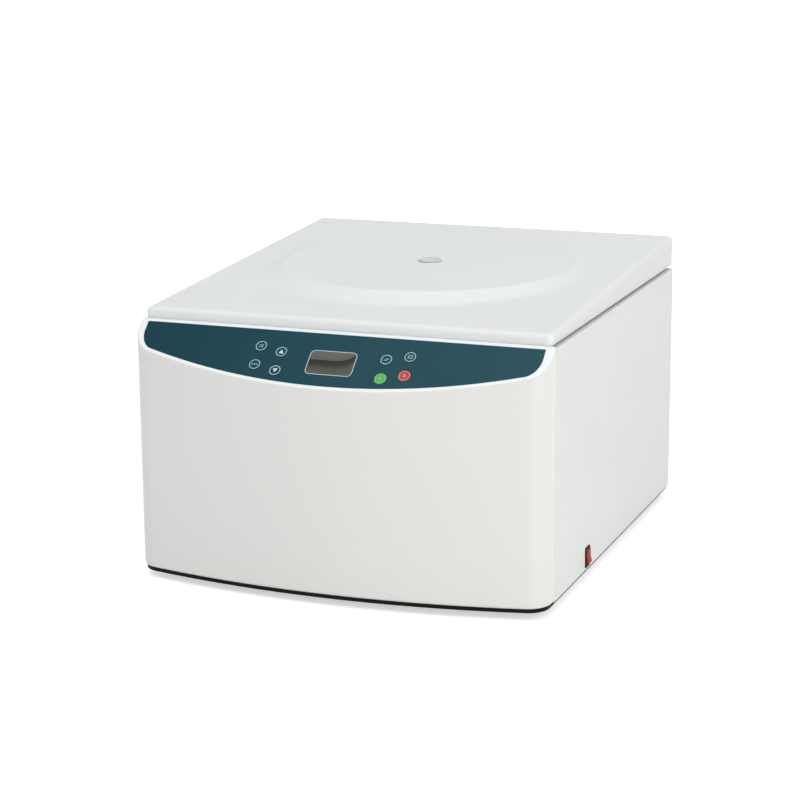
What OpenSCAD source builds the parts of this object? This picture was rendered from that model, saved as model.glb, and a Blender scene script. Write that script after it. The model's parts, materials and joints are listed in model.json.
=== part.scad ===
// Benchtop microplate centrifuge with a wedge lid, a bowed fascia and a swing-out plate rotor.
// Millimetres. Z = 0 is the plane under the feet, +Y runs to the back, and the origin is under
// the middle of the whole object. Most pieces are drawn from the seam between the fascia and the
// side panels, which is y = 0 inside at_seam().

/* [Cabinet] */
// Width over the side panels
body_w = 430; // [416:1:480]
// Depth from the fascia seam to the face of the rear panel
body_d = 442; // [434:1:520]
// Height of the side panels
side_h = 248; // [244:1:300]
// Thickness of the sheet steel panels
sheet = 2; // [1.2:0.1:3]
// Thickness of the deck under the lid
deck_t = 1.5; // [1:0.1:2]
// Width of the folded edges of the side panels
fold_w = 12; // [8:1:16]
// Clearance between fixed neighbours
gap = 0.3; // [0.1:0.05:0.6]
// Clearance round moving pieces
play = 0.4; // [0.3:0.05:0.8]
// Radial clearance of a pin in its bore
pin_fit = 0.05; // [0.02:0.01:0.09]

/* [Fascia] */
// How far the cheeks of the fascia stand in front of the seam
cheek_d = 26; // [20:1:40]
// How much further the bow reaches in the middle
bow_d = 27; // [15:1:40]
// Radius of the upright front corners
corner_r = 25; // [18:1:40]
// Radius of the lower edge of the fascia
edge_r = 5; // [3:0.5:8]
// Wall of the moulding
moulding = 3.2; // [2.5:0.1:4]
// Angle of the control facet from level
facet_a = 41.35; // [36:0.05:46]
// Height of the facet plane above the side panels, at the seam
facet_rise = 2.6; // [1:0.1:3]
// Depth of the bottom flange inside the moulding
flange_w = 16; // [10:1:24]
// Thickness of the bottom flange
bottom_flange_t = 4; // [3:0.5:5]
// How far the top of the fascia lies below the lid's lower edge
lip_drop = 0.6; // [0.5:0.1:2]
// Thickness of the tabs that the side panels cover
tab_t = 2.4; // [2:0.1:3]
// How far the tabs reach behind the seam
tab_reach = 12; // [8:1:20]
// Distance of the tabs from the lower edge of the moulding
tab_margin = 20; // [10:1:40]

/* [Control panel] */
// Thickness of the keypad membrane
film = 0.5; // [0.3:0.05:0.8]
// Distance from the membrane to the side edges of the facet
film_side = 9; // [6:0.5:14]
// Distance from the membrane to the front edge of the facet, in plan
film_front = 3; // [2:0.5:6]
// Distance of the membrane behind the seam, in plan
film_top = 4; // [3:0.5:6]
// Corner radius of the membrane
film_r = 17; // [12:1:20]
// Radius of a key
key_r = 6; // [5:0.1:7]
// How far a key stands above the membrane
key_rise = 0.6; // [0.3:0.1:1]
// How far a key travels
key_travel = 0.4; // [0.2:0.05:0.5]
// Distance of the outer keys from the middle
outer_key_x = 77; // [72:1:90]
// Distance of the inner keys from the middle
inner_key_x = 54.2; // [48:0.2:60]
// Distance of the upper outer keys down the facet
outer_key_y = 25.3; // [20:0.1:30]
// How much lower the inner keys sit
key_drop = 5.2; // [0:0.1:8]
// Distance between the two rows of keys
key_pitch = 22.2; // [16:0.1:26]
// Width of the display window
window_w = 47; // [36:0.5:60]
// Height of the display window
window_h = 27; // [20:0.5:34]
// Distance of the window's upper edge down the facet
window_y = 25.8; // [20:0.1:30]
// Corner radius of the window
window_r = 4.5; // [2:0.5:8]
// How deep the window sits in the facet
pane_depth = 1.4; // [1:0.1:1.8]
// Width of the ledge that carries the window
pane_ledge = 3; // [2:0.5:4]
// Thickness of the moulding left under a key
key_floor = 0.9; // [0.6:0.1:1.2]
// Distance of the control board behind the facet
board_back = 12; // [9:0.5:14]
// Thickness of the circuit boards
board_t = 1.6; // [1:0.1:2.4]
// Distance of the control board's upper edge down the facet
board_high = 16; // [12:1:20]
// Height of the control board
board_h = 44; // [38:1:46]
// Distance of the board's posts from its edges
post_inset = 6; // [4:0.5:8]
// Radius of a post
post_r = 3; // [2:0.5:4]

/* [Lid] */
// Gap between the side panels and the lid
lid_gap = 3; // [2:0.1:5]
// Height of the lid at the front
lid_front_h = 10; // [9:0.5:16]
// Height of the lid at the back
lid_rear_h = 32; // [24:1:50]
// How far the lid stands in from the side panels
lid_inset = 3.5; // [2:0.5:8]
// How far the lid reaches behind the rear panel
lid_over = 12; // [11:0.5:18]
// Wall of the lid cover
lid_wall = 3; // [2:0.1:4]
// Radius of the lid's upper edges
lid_edge_r = 5; // [3:0.5:7]
// Radius of the lid's upright corners
lid_corner_r = 6; // [3:0.5:12]
// Radius of the plateau's top
dome_r = 155; // [120:1:165]
// How far the plateau's flank runs out
dome_flank = 26; // [16:1:36]
// Height of the plateau at its front
dome_front_h = 9; // [4:0.5:14]
// Height of the plateau at its back
dome_rear_h = 0.6; // [0.5:0.1:6]
// Radius of the sight glass
sight_r = 10; // [8:0.5:20]
// Thickness of the sight glass
sight_t = 4; // [2:0.5:6]
// Wall of the sleeve round the sight glass
sleeve = 1.5; // [1.2:0.1:4]
// Thickness of the lid liner
liner_t = 1.2; // [0.8:0.1:2]
// Height of the liner above the lid's lower edge
liner_rise = 2.6; // [2:0.1:3.5]

/* [Hinges] */
// Radius of a hinge barrel
barrel_r = 5.5; // [5:0.1:6]
// Radius of a hinge pin
hinge_pin_r = 2.5; // [1.5:0.1:3]
// Length of a hinge
hinge_w = 70; // [50:1:100]
// Distance of the hinges from the middle
hinge_x = 140; // [90:1:160]
// Height of a hinge leaf
leaf_h = 30; // [20:1:40]
// Thickness of a hinge leaf
leaf_t = 2; // [1.5:0.1:2.5]
// Gap between the barrels and the lid's lower edge
barrel_gap = 1.5; // [1:0.1:3]
// Number of knuckles in a hinge
knuckles = 5; // [3:2:7]

/* [Chamber] */
// Distance of the chamber's axis behind the seam
chamber_y = 246; // [236:1:260]
// Inside radius of the chamber bowl
bowl_r = 160; // [152:1:164]
// Wall of the bowl
bowl_t = 1.5; // [1:0.1:2]
// Height of the bowl's floor above the side panels' lower edge
bowl_floor = 116; // [108:1:124]
// Radius of the bowl's lower corner
bowl_fillet = 25; // [12:1:40]
// Width of the bowl's rim on the deck
rim_w = 10; // [7:1:12]
// Radius of the hole in the bowl's floor
throat_r = 26; // [22:1:34]
// Height of the collar round that hole
throat_h = 12; // [6:1:18]
// Width of the gasket outside the rim
gasket_w = 7.5; // [4:0.5:10]
// How far the gasket reaches over the rim
gasket_lap = 4; // [2:0.5:6]
// Air between the bowl and the support frame
bowl_air = 9; // [4:0.5:12]
// Thickness of the shaft seal
seal_t = 4; // [3:0.5:5]
// Height of the seal's lip above its disc
seal_lip = 8; // [4:0.5:10]

/* [Rotor] */
// Length of a microplate
plate_l = 127.76; // [127:0.01:129]
// Width of a microplate
plate_w = 85.48; // [85:0.01:87]
// Clearance between a plate and its bucket, on each side
plate_gap = 0.9; // [0.5:0.1:1.5]
// Wall of a bucket
bucket_t = 2.5; // [1.5:0.1:3.5]
// Depth of a bucket below its trunnions
bucket_drop = 40; // [30:1:44]
// Height of a bucket's rim above its trunnions
bucket_rise = 6; // [2:1:10]
// Distance of the trunnions from the rotor's axis
trunnion_x = 85; // [80:1:90]
// Radius of a trunnion pin
trunnion_r = 4; // [3:0.1:5]
// Radius of the boss round a trunnion
boss_r = 10; // [8:0.5:12]
// Thickness of that boss
boss_t = 5; // [3:0.5:7]
// Width of the finger notches in a bucket
notch_w = 46; // [30:1:60]
// Depth of the finger notches
notch_d = 20; // [10:1:26]
// Radius of the drain holes in a bucket's floor
drain_r = 4; // [2:0.5:6]
// Thickness of a rotor arm
arm_t = 9; // [6:0.5:12]
// Height of a rotor arm
arm_h = 24; // [20:1:28]
// Height of the trunnions above the bowl's floor
trunnion_z = 68; // [62:1:74]
// Radius of the rotor's hub
hub_r = 22; // [18:1:26]
// Height of the rotor's hub
hub_h = 30; // [26:1:36]
// Depth of the hub's foot below the trunnions
hub_drop = 20; // [18:1:22]
// Half the width of the rotor's cross beam at the hub
beam_w = 22; // [18:1:26]
// Height of the cross beam
beam_h = 20; // [14:1:22]
// Radius of the cross beam's waist
beam_waist = 250; // [200:10:400]
// Length of the windows in the arms
arm_window = 26; // [16:1:34]
// Radius of the rotor nut
nut_r = 15; // [11:0.5:20]
// Height of the rotor nut
nut_h = 16; // [10:1:22]
// Radius of the drive shaft
shaft_r = 6; // [4:0.5:8]

/* [Drive] */
// Radius of the motor's can
motor_r = 58; // [50:1:70]
// Height of the motor's can
motor_h = 66; // [50:1:72]
// Radius of the motor's flange
flange_r = 84; // [80:1:94]
// Thickness of the motor's flange
flange_t = 6; // [4:0.5:8]
// Height of a vibration damper
damper_h = 14; // [8:1:18]
// Radius of a vibration damper
damper_r = 11; // [8:0.5:13]
// Thickness of the support frame's plate
frame_t = 3; // [2:0.5:5]
// Half the distance between the support frame's legs
leg_x = 140; // [125:1:150]
// Side of a leg
leg_w = 20; // [14:1:26]
// Outside radius of a bearing
bearing_r = 16; // [13:0.5:20]
// Height of a bearing
bearing_h = 9; // [6:0.5:12]
// Metal left beside a bearing's seat
seat_web = 3; // [2:0.5:4]
// Wall of the motor's can
can_wall = 10; // [7:0.5:12]

/* [Latch] */
// Distance of the striker's bar behind the seam
striker_y = 36; // [30:1:42]
// Depth of the striker's bar below the deck
striker_drop = 14; // [10:1:20]
// Radius of the striker's bar
striker_r = 2.5; // [2:0.1:3]
// Distance between the striker's legs, middle to middle
striker_w = 13; // [11:0.5:16]
// Thickness of the hook
hook_t = 5; // [3:0.5:6]
// Distance of the hook's pivot behind the striker's bar
hook_back = 14; // [12:1:18]
// Distance of the hook's pivot below the striker's bar
hook_down = 21; // [18:1:24]
// Distance of the hook's tail pin below its pivot
tail_down = 16; // [14:1:20]
// Radius of the hook's pivot pin
pivot_r = 2.5; // [2:0.1:3]
// Radius of the solenoid's plunger
plunger_r = 4; // [3:0.5:5]
// Length of the solenoid
solenoid_l = 29; // [26:1:34]
// Distance of the solenoid in front of the hook's pivot
solenoid_gap = 19; // [14:0.5:20]
// Half the width of the hook's tail
tail_half = 4.5; // [4:0.5:6]
// Radius of the pin between the hook's tail and the plunger
tail_pin_r = 1.5; // [1:0.1:2]
// Half the width of the solenoid
solenoid_w = 15; // [12:0.5:18]

/* [Base and fittings] */
// Height of the feet below the tray's edge
foot_drop = 8; // [5:0.5:14]
// Height of the tray's edge
tray_h = 4; // [3:0.5:8]
// Radius of a foot
foot_r = 17; // [12:0.5:22]
// Distance of the feet from the middle
foot_x = 180; // [150:1:184]
// Distance of the front feet behind the seam
foot_front = 16; // [10:1:40]
// Distance of the rear feet in front of the rear panel
foot_back = 24; // [22:1:60]
// Distance of the switch behind the seam
switch_y = 112; // [80:1:140]
// Width of the switch frame
switch_w = 15; // [13:0.5:20]
// Height of the switch frame
switch_h = 21; // [18:0.5:26]
// Width of the switch frame's rim
bezel = 1.5; // [1.2:0.1:3]
// Tilt of the rocker at rest
rocker_tilt = 6; // [4:0.5:12]
// Distance of the mains inlet from the middle
inlet_x = 85; // [60:1:100]
// Height of the mains inlet above the side panels' lower edge
inlet_z = 36; // [28:1:50]
// Width of the mains inlet's flange
inlet_w = 56; // [50:0.5:66]
// Height of the mains inlet's flange
inlet_h = 37; // [35:0.5:44]
// Thickness of that flange
inlet_t = 3; // [2:0.5:4]
// Width of the mains inlet's body
inlet_in_w = 30; // [28:0.5:35]
// Height of the mains inlet's body
inlet_in_h = 33; // [31:0.5:39]
// Depth of the mains inlet's body behind that flange
inlet_in = 28; // [24:1:34]
// Width of the mains socket
socket_w = 24.6; // [24:0.1:28]
// Height of the mains socket
socket_h = 16.6; // [16:0.1:19]
// Depth of the mains socket
socket_in = 16; // [14:0.5:19]
// Height of the fuse drawer
drawer_h = 8; // [7:0.5:9]
// Width of the drive board
drive_w = 130; // [110:1:150]
// Depth of the drive board
drive_d = 80; // [70:1:92]
// Height of the tallest parts on the drive board, above the tray
drive_h = 38; // [30:1:44]
// Outside radius of the mains transformer
coil_out = 40; // [32:1:46]
// Radius of the hole through the mains transformer
coil_in = 14; // [10:1:18]
// Height of the mains transformer's winding
coil_h = 36; // [28:1:42]
// Distance of the mains transformer from the middle
coil_x = 70; // [60:1:90]
// Distance from the middle to the inner ends of the vent slots
vent_x = 28; // [20:1:40]
// Height of the lowest vent slots above the side panels' lower edge
vent_z = 86; // [60:1:110]
// Web between two vent slots
vent_web = 5; // [3:0.5:8]
// Number of vent slots in a group
vents = 9; // [4:1:12]
// Height of a vent slot
vent_h = 4; // [2.5:0.1:5]
// Length of a vent slot
vent_w = 90; // [60:1:110]

/* [Hidden] */
$fn = 72;

// A small overlap that keeps cuts and joined forms clean
eps = 0.01;
half_w = body_w / 2;
body_z = foot_drop + tray_h;
top_z = body_z + side_h;
lid_z = top_z + lid_gap;
seam_y = cheek_d + bow_d - (cheek_d + bow_d + body_d + lid_over) / 2;

// Plan of the fascia: an arc through the cheeks, blended into the sides by fillets
bow_R = (half_w * half_w + bow_d * bow_d) / (2 * bow_d);
bow_y = bow_R - cheek_d - bow_d;
fillet_x = half_w - corner_r;
fillet_y = bow_y - sqrt(pow(bow_R - corner_r, 2) - fillet_x * fillet_x);
bow_half_a = 90 - atan2(bow_y - fillet_y, fillet_x);
blend = 0.03;
blend_a = acos(1 - blend / corner_r) / 2;

// The facet plane and the keys on it
facet_z = top_z + facet_rise;
key_seat = moulding - key_floor;
key_body = key_seat - key_travel - play / 2;
board_w = 2 * outer_key_x + 40;

// The deck lies under the folded upper edges of the side panels
deck_z = top_z - 2 * sheet;
rim_z = deck_z + bowl_t;
bowl_floor_z = body_z + bowl_floor;
deck_under = deck_z - deck_t;
liner_z = lid_z + liner_rise;
gasket_top = liner_z - gap;
chamber_hole = bowl_r + bowl_t + 2 * gap;

// The lid's top plane
lid_l = body_d + lid_over;
lid_half = half_w - lid_inset;
lid_slope = atan2(lid_rear_h - lid_front_h, lid_l);
function lid_top(y) = lid_z + lid_front_h + y * tan(lid_slope);
dome_front_y = chamber_y - dome_r;
dome_rear_y = chamber_y + dome_r;
dome_front_z = lid_top(dome_front_y) + dome_front_h;
dome_rear_z = lid_top(dome_rear_y) + dome_rear_h;
dome_a = atan2(dome_rear_z - dome_front_z, 2 * dome_r);
dome_mid_z = (dome_front_z + dome_rear_z) / 2;
dome_depth = dome_front_h + dome_r * (tan(lid_slope) + 0.01);
// The sight glass ends just below the top of its ring, which lies over the plateau
ring_low = dome_mid_z + 2 * gap;
ring_t = 0.8;
sight_top = ring_low + ring_t - 0.2;

// The hinge axis lies behind the rear panel, below the lid's overhang
hinge_y = body_d + barrel_r + gap;
hinge_z = lid_z - barrel_r - barrel_gap;
knuckle_w = hinge_w / knuckles;

// The rotor and its buckets
pivot_z = bowl_floor_z + trunnion_z;
cavity_l = plate_l + 2 * plate_gap;
cavity_w = plate_w + 2 * plate_gap;
bucket_half_l = cavity_l / 2 + bucket_t;
bucket_half_w = cavity_w / 2 + bucket_t;
boss_y = bucket_half_l + boss_t;
arm_y = boss_y + 2 * play;
hub_z = pivot_z - hub_drop;
collar_r = shaft_r + 5;
collar_h = 8;

// The motor hangs from the support frame, under the bowl
frame_top = bowl_floor_z - bowl_t - bowl_air;
frame_z = frame_top - frame_t;
flange_top = frame_z - damper_h;
can_top = flange_top - flange_t;
can_bottom = can_top - motor_h;
damper_at = flange_r - damper_r - 4;
bell_t = 4;
shaft_bottom = can_bottom - bell_t + 1;
upper_bearing_z = flange_top - bearing_h - seat_web;
lower_bearing_z = can_bottom + seat_web;

// The latch, under the deck
bar_z = deck_z - striker_drop;
pivot_y = striker_y + hook_back;
hook_z = bar_z - hook_down;
tail_z = hook_z - tail_down;
hook_turn = 22;
plunger_travel = tail_down * hook_turn * PI / 180;
solenoid_y = pivot_y - solenoid_gap - solenoid_l;
plunger_end = solenoid_y + solenoid_l + plunger_travel + 1;
// How far in front of the pivot the fork's bridge ends, clear of the tail as it swings
tail_sweep = tail_half / cos(hook_turn) + (tail_down + plunger_r) * tan(hook_turn) - plunger_travel + play;
solenoid_low = tail_z - 14;
solenoid_high = tail_z + 12;
// Metal left in front of the solenoid's bore
bore_end = 4;

// The switch sits just above the side panel's bottom fold
rocker_r = switch_h / 2 - bezel - gap;
switch_z = body_z + sheet + switch_h / 2 + play;
rocker_in = 2.5;
rocker_face = 4.6;
rocker_back = 2.6;
foot_stud_r = 2;
screw_r = 1.5;

// The fuse drawer lies under the socket
drawer_w = socket_w - 2 * gap;
drawer_z = -inlet_in_h / 2 + drawer_h / 2 + 2.5;
socket_z = inlet_in_h / 2 - socket_h / 2 - 2.7;

function key_row(n) = outer_key_y + n * key_pitch;

module at_seam() {
    translate([0, seam_y, 0])
        children();
}

// X stays, Y runs up the facet and Z stands out of it; the origin is on the seam
module on_facet() {
    at_seam()
        translate([0, 0, facet_z])
            rotate([facet_a, 0, 0])
                children();
}

// Its child on the right, and mirrored to the left
module left_and_right() {
    children();
    mirror([1, 0, 0])
        children();
}

// Its child at the back, and mirrored to the front
module back_and_front() {
    children();
    mirror([0, 1, 0])
        children();
}

// A box from its lowest corner to its highest
module block(low, high) {
    translate(low)
        cube(high - low);
}

// A rod along X, Y or Z
module rod_x(r, x0, x1) {
    translate([x0, 0, 0])
        rotate([0, 90, 0])
            cylinder(r = r, h = x1 - x0);
}

module rod_y(r, y0, y1) {
    translate([0, y0, 0])
        rotate([-90, 0, 0])
            cylinder(r = r, h = y1 - y0);
}

module rod_z(r, z0, z1) {
    translate([0, 0, z0])
        cylinder(r = r, h = z1 - z0);
}

// A rectangle in the middle with round corners, exact at every size
module round_rect(w, d, r) {
    square([w - 2 * r, d], center = true);
    square([w, d - 2 * r], center = true);
    for (x = [-1, 1], y = [-1, 1])
        translate([x * (w / 2 - r), y * (d / 2 - r)])
            circle(r);
}

// A bowed front: an arc of radius R about [0, y], sides at half, and corners of radius r
// that bulge a hair past both, so that the curves cross cleanly; it ends square at y = back
module bowed_plan(R, y, half, r, back) {
    x = half - r;
    corner_y = y - sqrt(pow(R - r, 2) - x * x);
    a = atan2(corner_y - y, x);
    intersection() {
        translate([0, y])
            circle(R, $fn = 720);
        translate([-half, -R])
            square([2 * half, R + back]);
        union() {
            for (side = [-1, 1])
                translate([side * x, corner_y])
                    circle(r + blend, $fn = 144);
            translate([0, y])
                polygon([[0, 0], 2 * R * [cos(a), sin(a)], 2 * R * [-cos(a), sin(a)]]);
            translate([-R, corner_y])
                square([2 * R, R]);
        }
    }
}

// Plan of the front of the cabinet, drawn in by an inset
module front_plan(inset, back) {
    bowed_plan(bow_R - inset, bow_y, half_w - inset, corner_r - inset, back);
}

// Everything on the inner side of a plane parallel to the facet
module below_facet(depth) {
    translate([0, 0, facet_z])
        rotate([facet_a, 0, 0])
            translate([-400, -500, -500 - depth])
                cube([800, 1000, 500]);
}

// What is cut away along a lower edge, from the inside out, to leave it round
module edge_cut(outer) {
    difference() {
        translate([outer - edge_r, body_z - 1])
            square([edge_r + 1, edge_r + 1]);
        translate([outer - edge_r, body_z + edge_r])
            circle(edge_r);
    }
}

// The moulding as a solid block: the plan of the front with a round lower edge
module fascia_block() {
    difference() {
        translate([0, 0, body_z])
            linear_extrude(side_h + facet_rise)
                front_plan(0, -gap);
        // Along the bow
        translate([0, bow_y, 0])
            rotate_extrude($fn = 720)
                edge_cut(bow_R);
        // Round the corners
        left_and_right()
            translate([fillet_x, fillet_y, 0])
                rotate([0, 0, bow_half_a - 90 - blend_a])
                    rotate_extrude(angle = 90 - bow_half_a + 2 * blend_a, $fn = 144)
                        edge_cut(corner_r + blend);
        // Along the cheeks
        left_and_right()
            translate([fillet_x, 1, 0])
                rotate([90, 0, 0])
                    linear_extrude(1 - fillet_y + corner_r)
                        edge_cut(corner_r);
    }
}

module front_fascia() {
    floor_z = body_z + bottom_flange_t;
    tab_x = half_w - sheet - gap;
    post_x = board_w / 2 - post_inset;
    color("whitesmoke")
        difference() {
            union() {
                at_seam()
                    difference() {
                        intersection() {
                            fascia_block();
                            below_facet(0);
                            block([-body_w, -body_w, 0], [body_w, 0, lid_z - lip_drop]);
                        }
                        // The space inside the moulding, with a flange left along the bottom
                        intersection() {
                            translate([0, 0, floor_z])
                                linear_extrude(side_h)
                                    front_plan(moulding, 1);
                            below_facet(moulding);
                        }
                        linear_extrude(floor_z + 1)
                            front_plan(flange_w + moulding, 1);
                    }
                // Tabs that the side panels cover
                at_seam()
                    left_and_right()
                        block([tab_x - tab_t, fillet_y - 1, body_z + tab_margin],
                            [tab_x, tab_reach, top_z - 2 * tab_margin]);
                // Posts for the control board
                on_facet()
                    for (x = [-post_x, post_x], y = [post_inset, board_h - post_inset])
                        translate([x, -board_high - y, 0])
                            rod_z(post_r, -board_back, -moulding / 2);
            }
            on_facet() {
                // Pockets for the keys
                each_key()
                    rod_z(key_r + play, -key_seat, 5);
                // Seat and opening for the display window
                translate([0, -window_y - window_h / 2, 0]) {
                    translate([0, 0, -pane_depth])
                        linear_extrude(board_back)
                            round_rect(window_w, window_h, window_r);
                    translate([0, 0, -board_back])
                        linear_extrude(2 * board_back)
                            round_rect(window_w - 2 * pane_ledge, window_h - 2 * pane_ledge, 1);
                }
            }
        }
}

// Places its child at every key
module each_key() {
    for (side = [-1, 1], inner = [0, 1], row = [0, 1])
        key_place(side, inner, row)
            children();
}

module key_place(side, inner, row) {
    x = inner == 1 ? inner_key_x : outer_key_x;
    translate([side * x, -key_row(row) - inner * key_drop, 0])
        children();
}

// A thin sheet on the facet whose outline is the plan of the front, drawn in
module keypad_membrane() {
    film_half = half_w - film_side;
    color("darkcyan")
        difference() {
            at_seam()
                intersection() {
                    translate([0, 0, facet_z])
                        rotate([facet_a, 0, 0])
                            translate([-300, -300, 0])
                                cube([600, 600, film]);
                    translate([0, 0, top_z - 80])
                        linear_extrude(100)
                            bowed_plan(bow_R - film_front, bow_y, film_half, film_r, -film_top);
                }
            on_facet() {
                each_key()
                    rod_z(key_r + play, -5, 5);
                translate([0, -window_y - window_h / 2, -5])
                    linear_extrude(10)
                        round_rect(window_w, window_h, window_r);
            }
        }
}

module key(side, inner, row, tint) {
    color(tint)
        on_facet()
            key_place(side, inner, row) {
                rod_z(key_r, -key_body, film + key_rise - 0.3);
                translate([0, 0, film + key_rise - 0.3])
                    cylinder(r1 = key_r, r2 = key_r - 0.3, h = 0.3);
            }
}

module display_window() {
    color("dimgray")
        on_facet()
            translate([0, -window_y - window_h / 2, gap / 3 - pane_depth])
                linear_extrude(pane_depth + film - gap / 3)
                    round_rect(window_w - 2 * gap, window_h - 2 * gap, window_r - gap);
}

module display_module() {
    w = window_w - 2 * pane_ledge - 3 * gap;
    h = window_h - 2 * pane_ledge - 3 * gap;
    shoulder = 3;
    color("black")
        on_facet()
            translate([0, -window_y - window_h / 2, 0]) {
                block([-w / 2, -h / 2, -board_back], [w / 2, h / 2, -pane_depth - gap]);
                block([-w / 2 - shoulder, -h / 2, -board_back], [w / 2 + shoulder, h / 2, -moulding - 1]);
            }
}

module control_board() {
    color("darkgreen")
        on_facet() {
            block([-board_w / 2, -board_high - board_h, -board_back - board_t],
                [board_w / 2, -board_high, -board_back]);
            // Connectors on the back
            for (x = [-60, 40])
                translate([x, -board_high - board_h / 2, -board_back - board_t])
                    block([0, 0, -7], [24, 8, eps]);
        }
}

module base_tray() {
    slot_pitch = 14;
    slot_w = 5;
    slot_l = 70;
    color("black")
        difference() {
            at_seam() {
                translate([0, 0, foot_drop])
                    linear_extrude(tray_h)
                        tray_plan(sheet + gap);
            }
            at_seam() {
                translate([0, 0, foot_drop - 1])
                    linear_extrude(1 + tray_h - sheet)
                        difference() {
                            tray_plan(2 * sheet + gap);
                            feet_places()
                                circle(foot_r + tray_h - 1);
                        }
                feet_places()
                    rod_z(foot_stud_r + gap / 2, 0, body_z + 1);
                // Air slots under the motor
                for (x = [-3 : 3])
                    translate([x * slot_pitch, chamber_y, foot_drop - 1])
                        linear_extrude(tray_h + 2)
                            round_rect(slot_w, slot_l, slot_w / 2 - 0.1);
            }
        }
}

module tray_plan(inset) {
    front_plan(inset, 10);
    translate([inset - half_w, 0])
        square([body_w - 2 * inset, body_d - inset]);
}

module feet_places() {
    for (x = [-foot_x, foot_x], y = [foot_front, body_d - foot_back])
        translate([x, y, 0])
            children();
}

module rubber_feet() {
    taper = foot_drop * 0.375;
    color("dimgray")
        at_seam()
            feet_places()
                difference() {
                    union() {
                        cylinder(r1 = foot_r - taper / 1.5, r2 = foot_r, h = taper);
                        rod_z(foot_r, taper - eps, foot_drop);
                        rod_z(foot_stud_r, foot_drop - eps, foot_drop + tray_h - gap);
                    }
                    rod_z(foot_r / 2, -1, taper);
                }
}

// A side panel: the wall, a fold along the top, one along the bottom and one at the back
module side_panel() {
    at_seam()
        difference() {
            union() {
                block([half_w - sheet, 0, body_z], [half_w, body_d - sheet, top_z]);
                block([half_w - fold_w, 0, top_z - sheet], [half_w - eps, body_d - sheet, top_z]);
                block([half_w - fold_w, 0, body_z],
                    [half_w - eps, body_d - sheet, body_z + sheet]);
                block([half_w - fold_w, body_d - 2 * sheet, body_z],
                    [half_w - eps, body_d - sheet, top_z]);
            }
            rear_screw_places()
                rod_y(screw_r + gap / 2, -20, 5);
        }
}

module left_side_panel() {
    color("whitesmoke")
        mirror([1, 0, 0])
            side_panel();
}

module right_side_panel() {
    color("whitesmoke")
        difference() {
            side_panel();
            at_seam()
                translate([half_w, switch_y, switch_z])
                    rotate([90, 0, 90])
                        translate([0, 0, -10])
                            linear_extrude(20)
                                round_rect(switch_w - 2, switch_h - 2, 0.8);
        }
}

module rear_panel() {
    color("whitesmoke")
        at_seam()
            difference() {
                translate([0, body_d - sheet, body_z])
                    linear_extrude(side_h)
                        intersection() {
                            translate([-half_w, 0])
                                square([body_w, sheet]);
                            translate([0, -20 + sheet])
                                round_rect(body_w, 40, sheet);
                        }
                rear_screw_places()
                    rod_y(screw_r + gap / 2, -20, 5);
                // Two groups of vent slots
                for (x = [-1, 1], n = [0 : vents - 1])
                    translate([x * (vent_w / 2 + vent_x), body_d, body_z + vent_z + n * (vent_h + vent_web)])
                        rotate([90, 0, 0])
                            translate([0, 0, -5])
                                linear_extrude(20)
                                    round_rect(vent_w, vent_h, vent_h / 2 - 0.05);
                // Opening for the mains inlet
                translate([inlet_x, body_d, body_z + inlet_z])
                    rotate([90, 0, 0])
                        translate([0, 0, -5])
                            linear_extrude(20)
                                round_rect(inlet_in_w + 2 * gap, inlet_in_h + 2 * gap, 1);
            }
}

// The screws of the rear panel, at its outer face
module rear_screw_places() {
    for (x = [-1, 1], z = [fold_w, side_h / 2, side_h - fold_w])
        translate([x * (half_w - fold_w / 2 - 1), body_d, body_z + z])
            children();
}

module rear_screws() {
    rim = 0.9;
    color("silver")
        at_seam()
            rear_screw_places() {
                rod_y(screw_r, -2 * sheet - 3, eps);
                rod_y(2 * screw_r, 0, rim);
                translate([0, rim, 0])
                    rotate([-90, 0, 0])
                        cylinder(r1 = 2 * screw_r, r2 = 1.5 * screw_r, h = rim);
            }
}

module top_deck() {
    color("lightgray")
        at_seam()
            difference() {
                block([gap + sheet - half_w, 1, deck_under],
                    [half_w - sheet - gap, body_d - 2 * sheet - gap, deck_z + sheet]);
                // The middle lies lower than the edges, which sit under the side panels' folds
                block([fold_w + gap - half_w, 0, deck_z],
                    [half_w - fold_w - gap, body_d, deck_z + 2 * sheet]);
                translate([0, chamber_y, 0])
                    rod_z(chamber_hole, 0, top_z);
                block([-striker_w / 2 - 4, striker_y - 6, 0], [striker_w / 2 + 4, striker_y + 6, top_z]);
            }
}

// Half of the bowl's section: straight wall, round lower corner
module bowl_section(r, low, high, round) {
    translate([0, low + round])
        square([r, high - low - round]);
    translate([0, low])
        square([r - round, round + eps]);
    translate([r - round, low + round])
        intersection() {
            circle(round);
            translate([-eps, -round])
                square([round + eps, round + eps]);
        }
}

module chamber_bowl() {
    color("silver")
        at_seam()
            translate([0, chamber_y, 0])
                rotate_extrude($fn = 180)
                    difference() {
                        union() {
                            bowl_section(bowl_r + bowl_t, bowl_floor_z - bowl_t, rim_z, bowl_fillet + bowl_t);
                            translate([0, deck_z])
                                square([bowl_r + rim_w, bowl_t]);
                        }
                        difference() {
                            bowl_section(bowl_r, bowl_floor_z, rim_z + 5, bowl_fillet);
                            translate([throat_r, bowl_floor_z - 1])
                                square([bowl_t, throat_h + 1]);
                        }
                        square([throat_r, top_z]);
                    }
}

module chamber_gasket() {
    color("dimgray")
        at_seam()
            translate([0, chamber_y, 0])
                rotate_extrude($fn = 180)
                    difference() {
                        translate([bowl_r + rim_w - gasket_lap, deck_z])
                            square([gasket_lap + gasket_w, gasket_top - deck_z]);
                        translate([0, deck_z - 1])
                            square([bowl_r + rim_w + gap, bowl_t + 1 + gap]);
                    }
}

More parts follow.
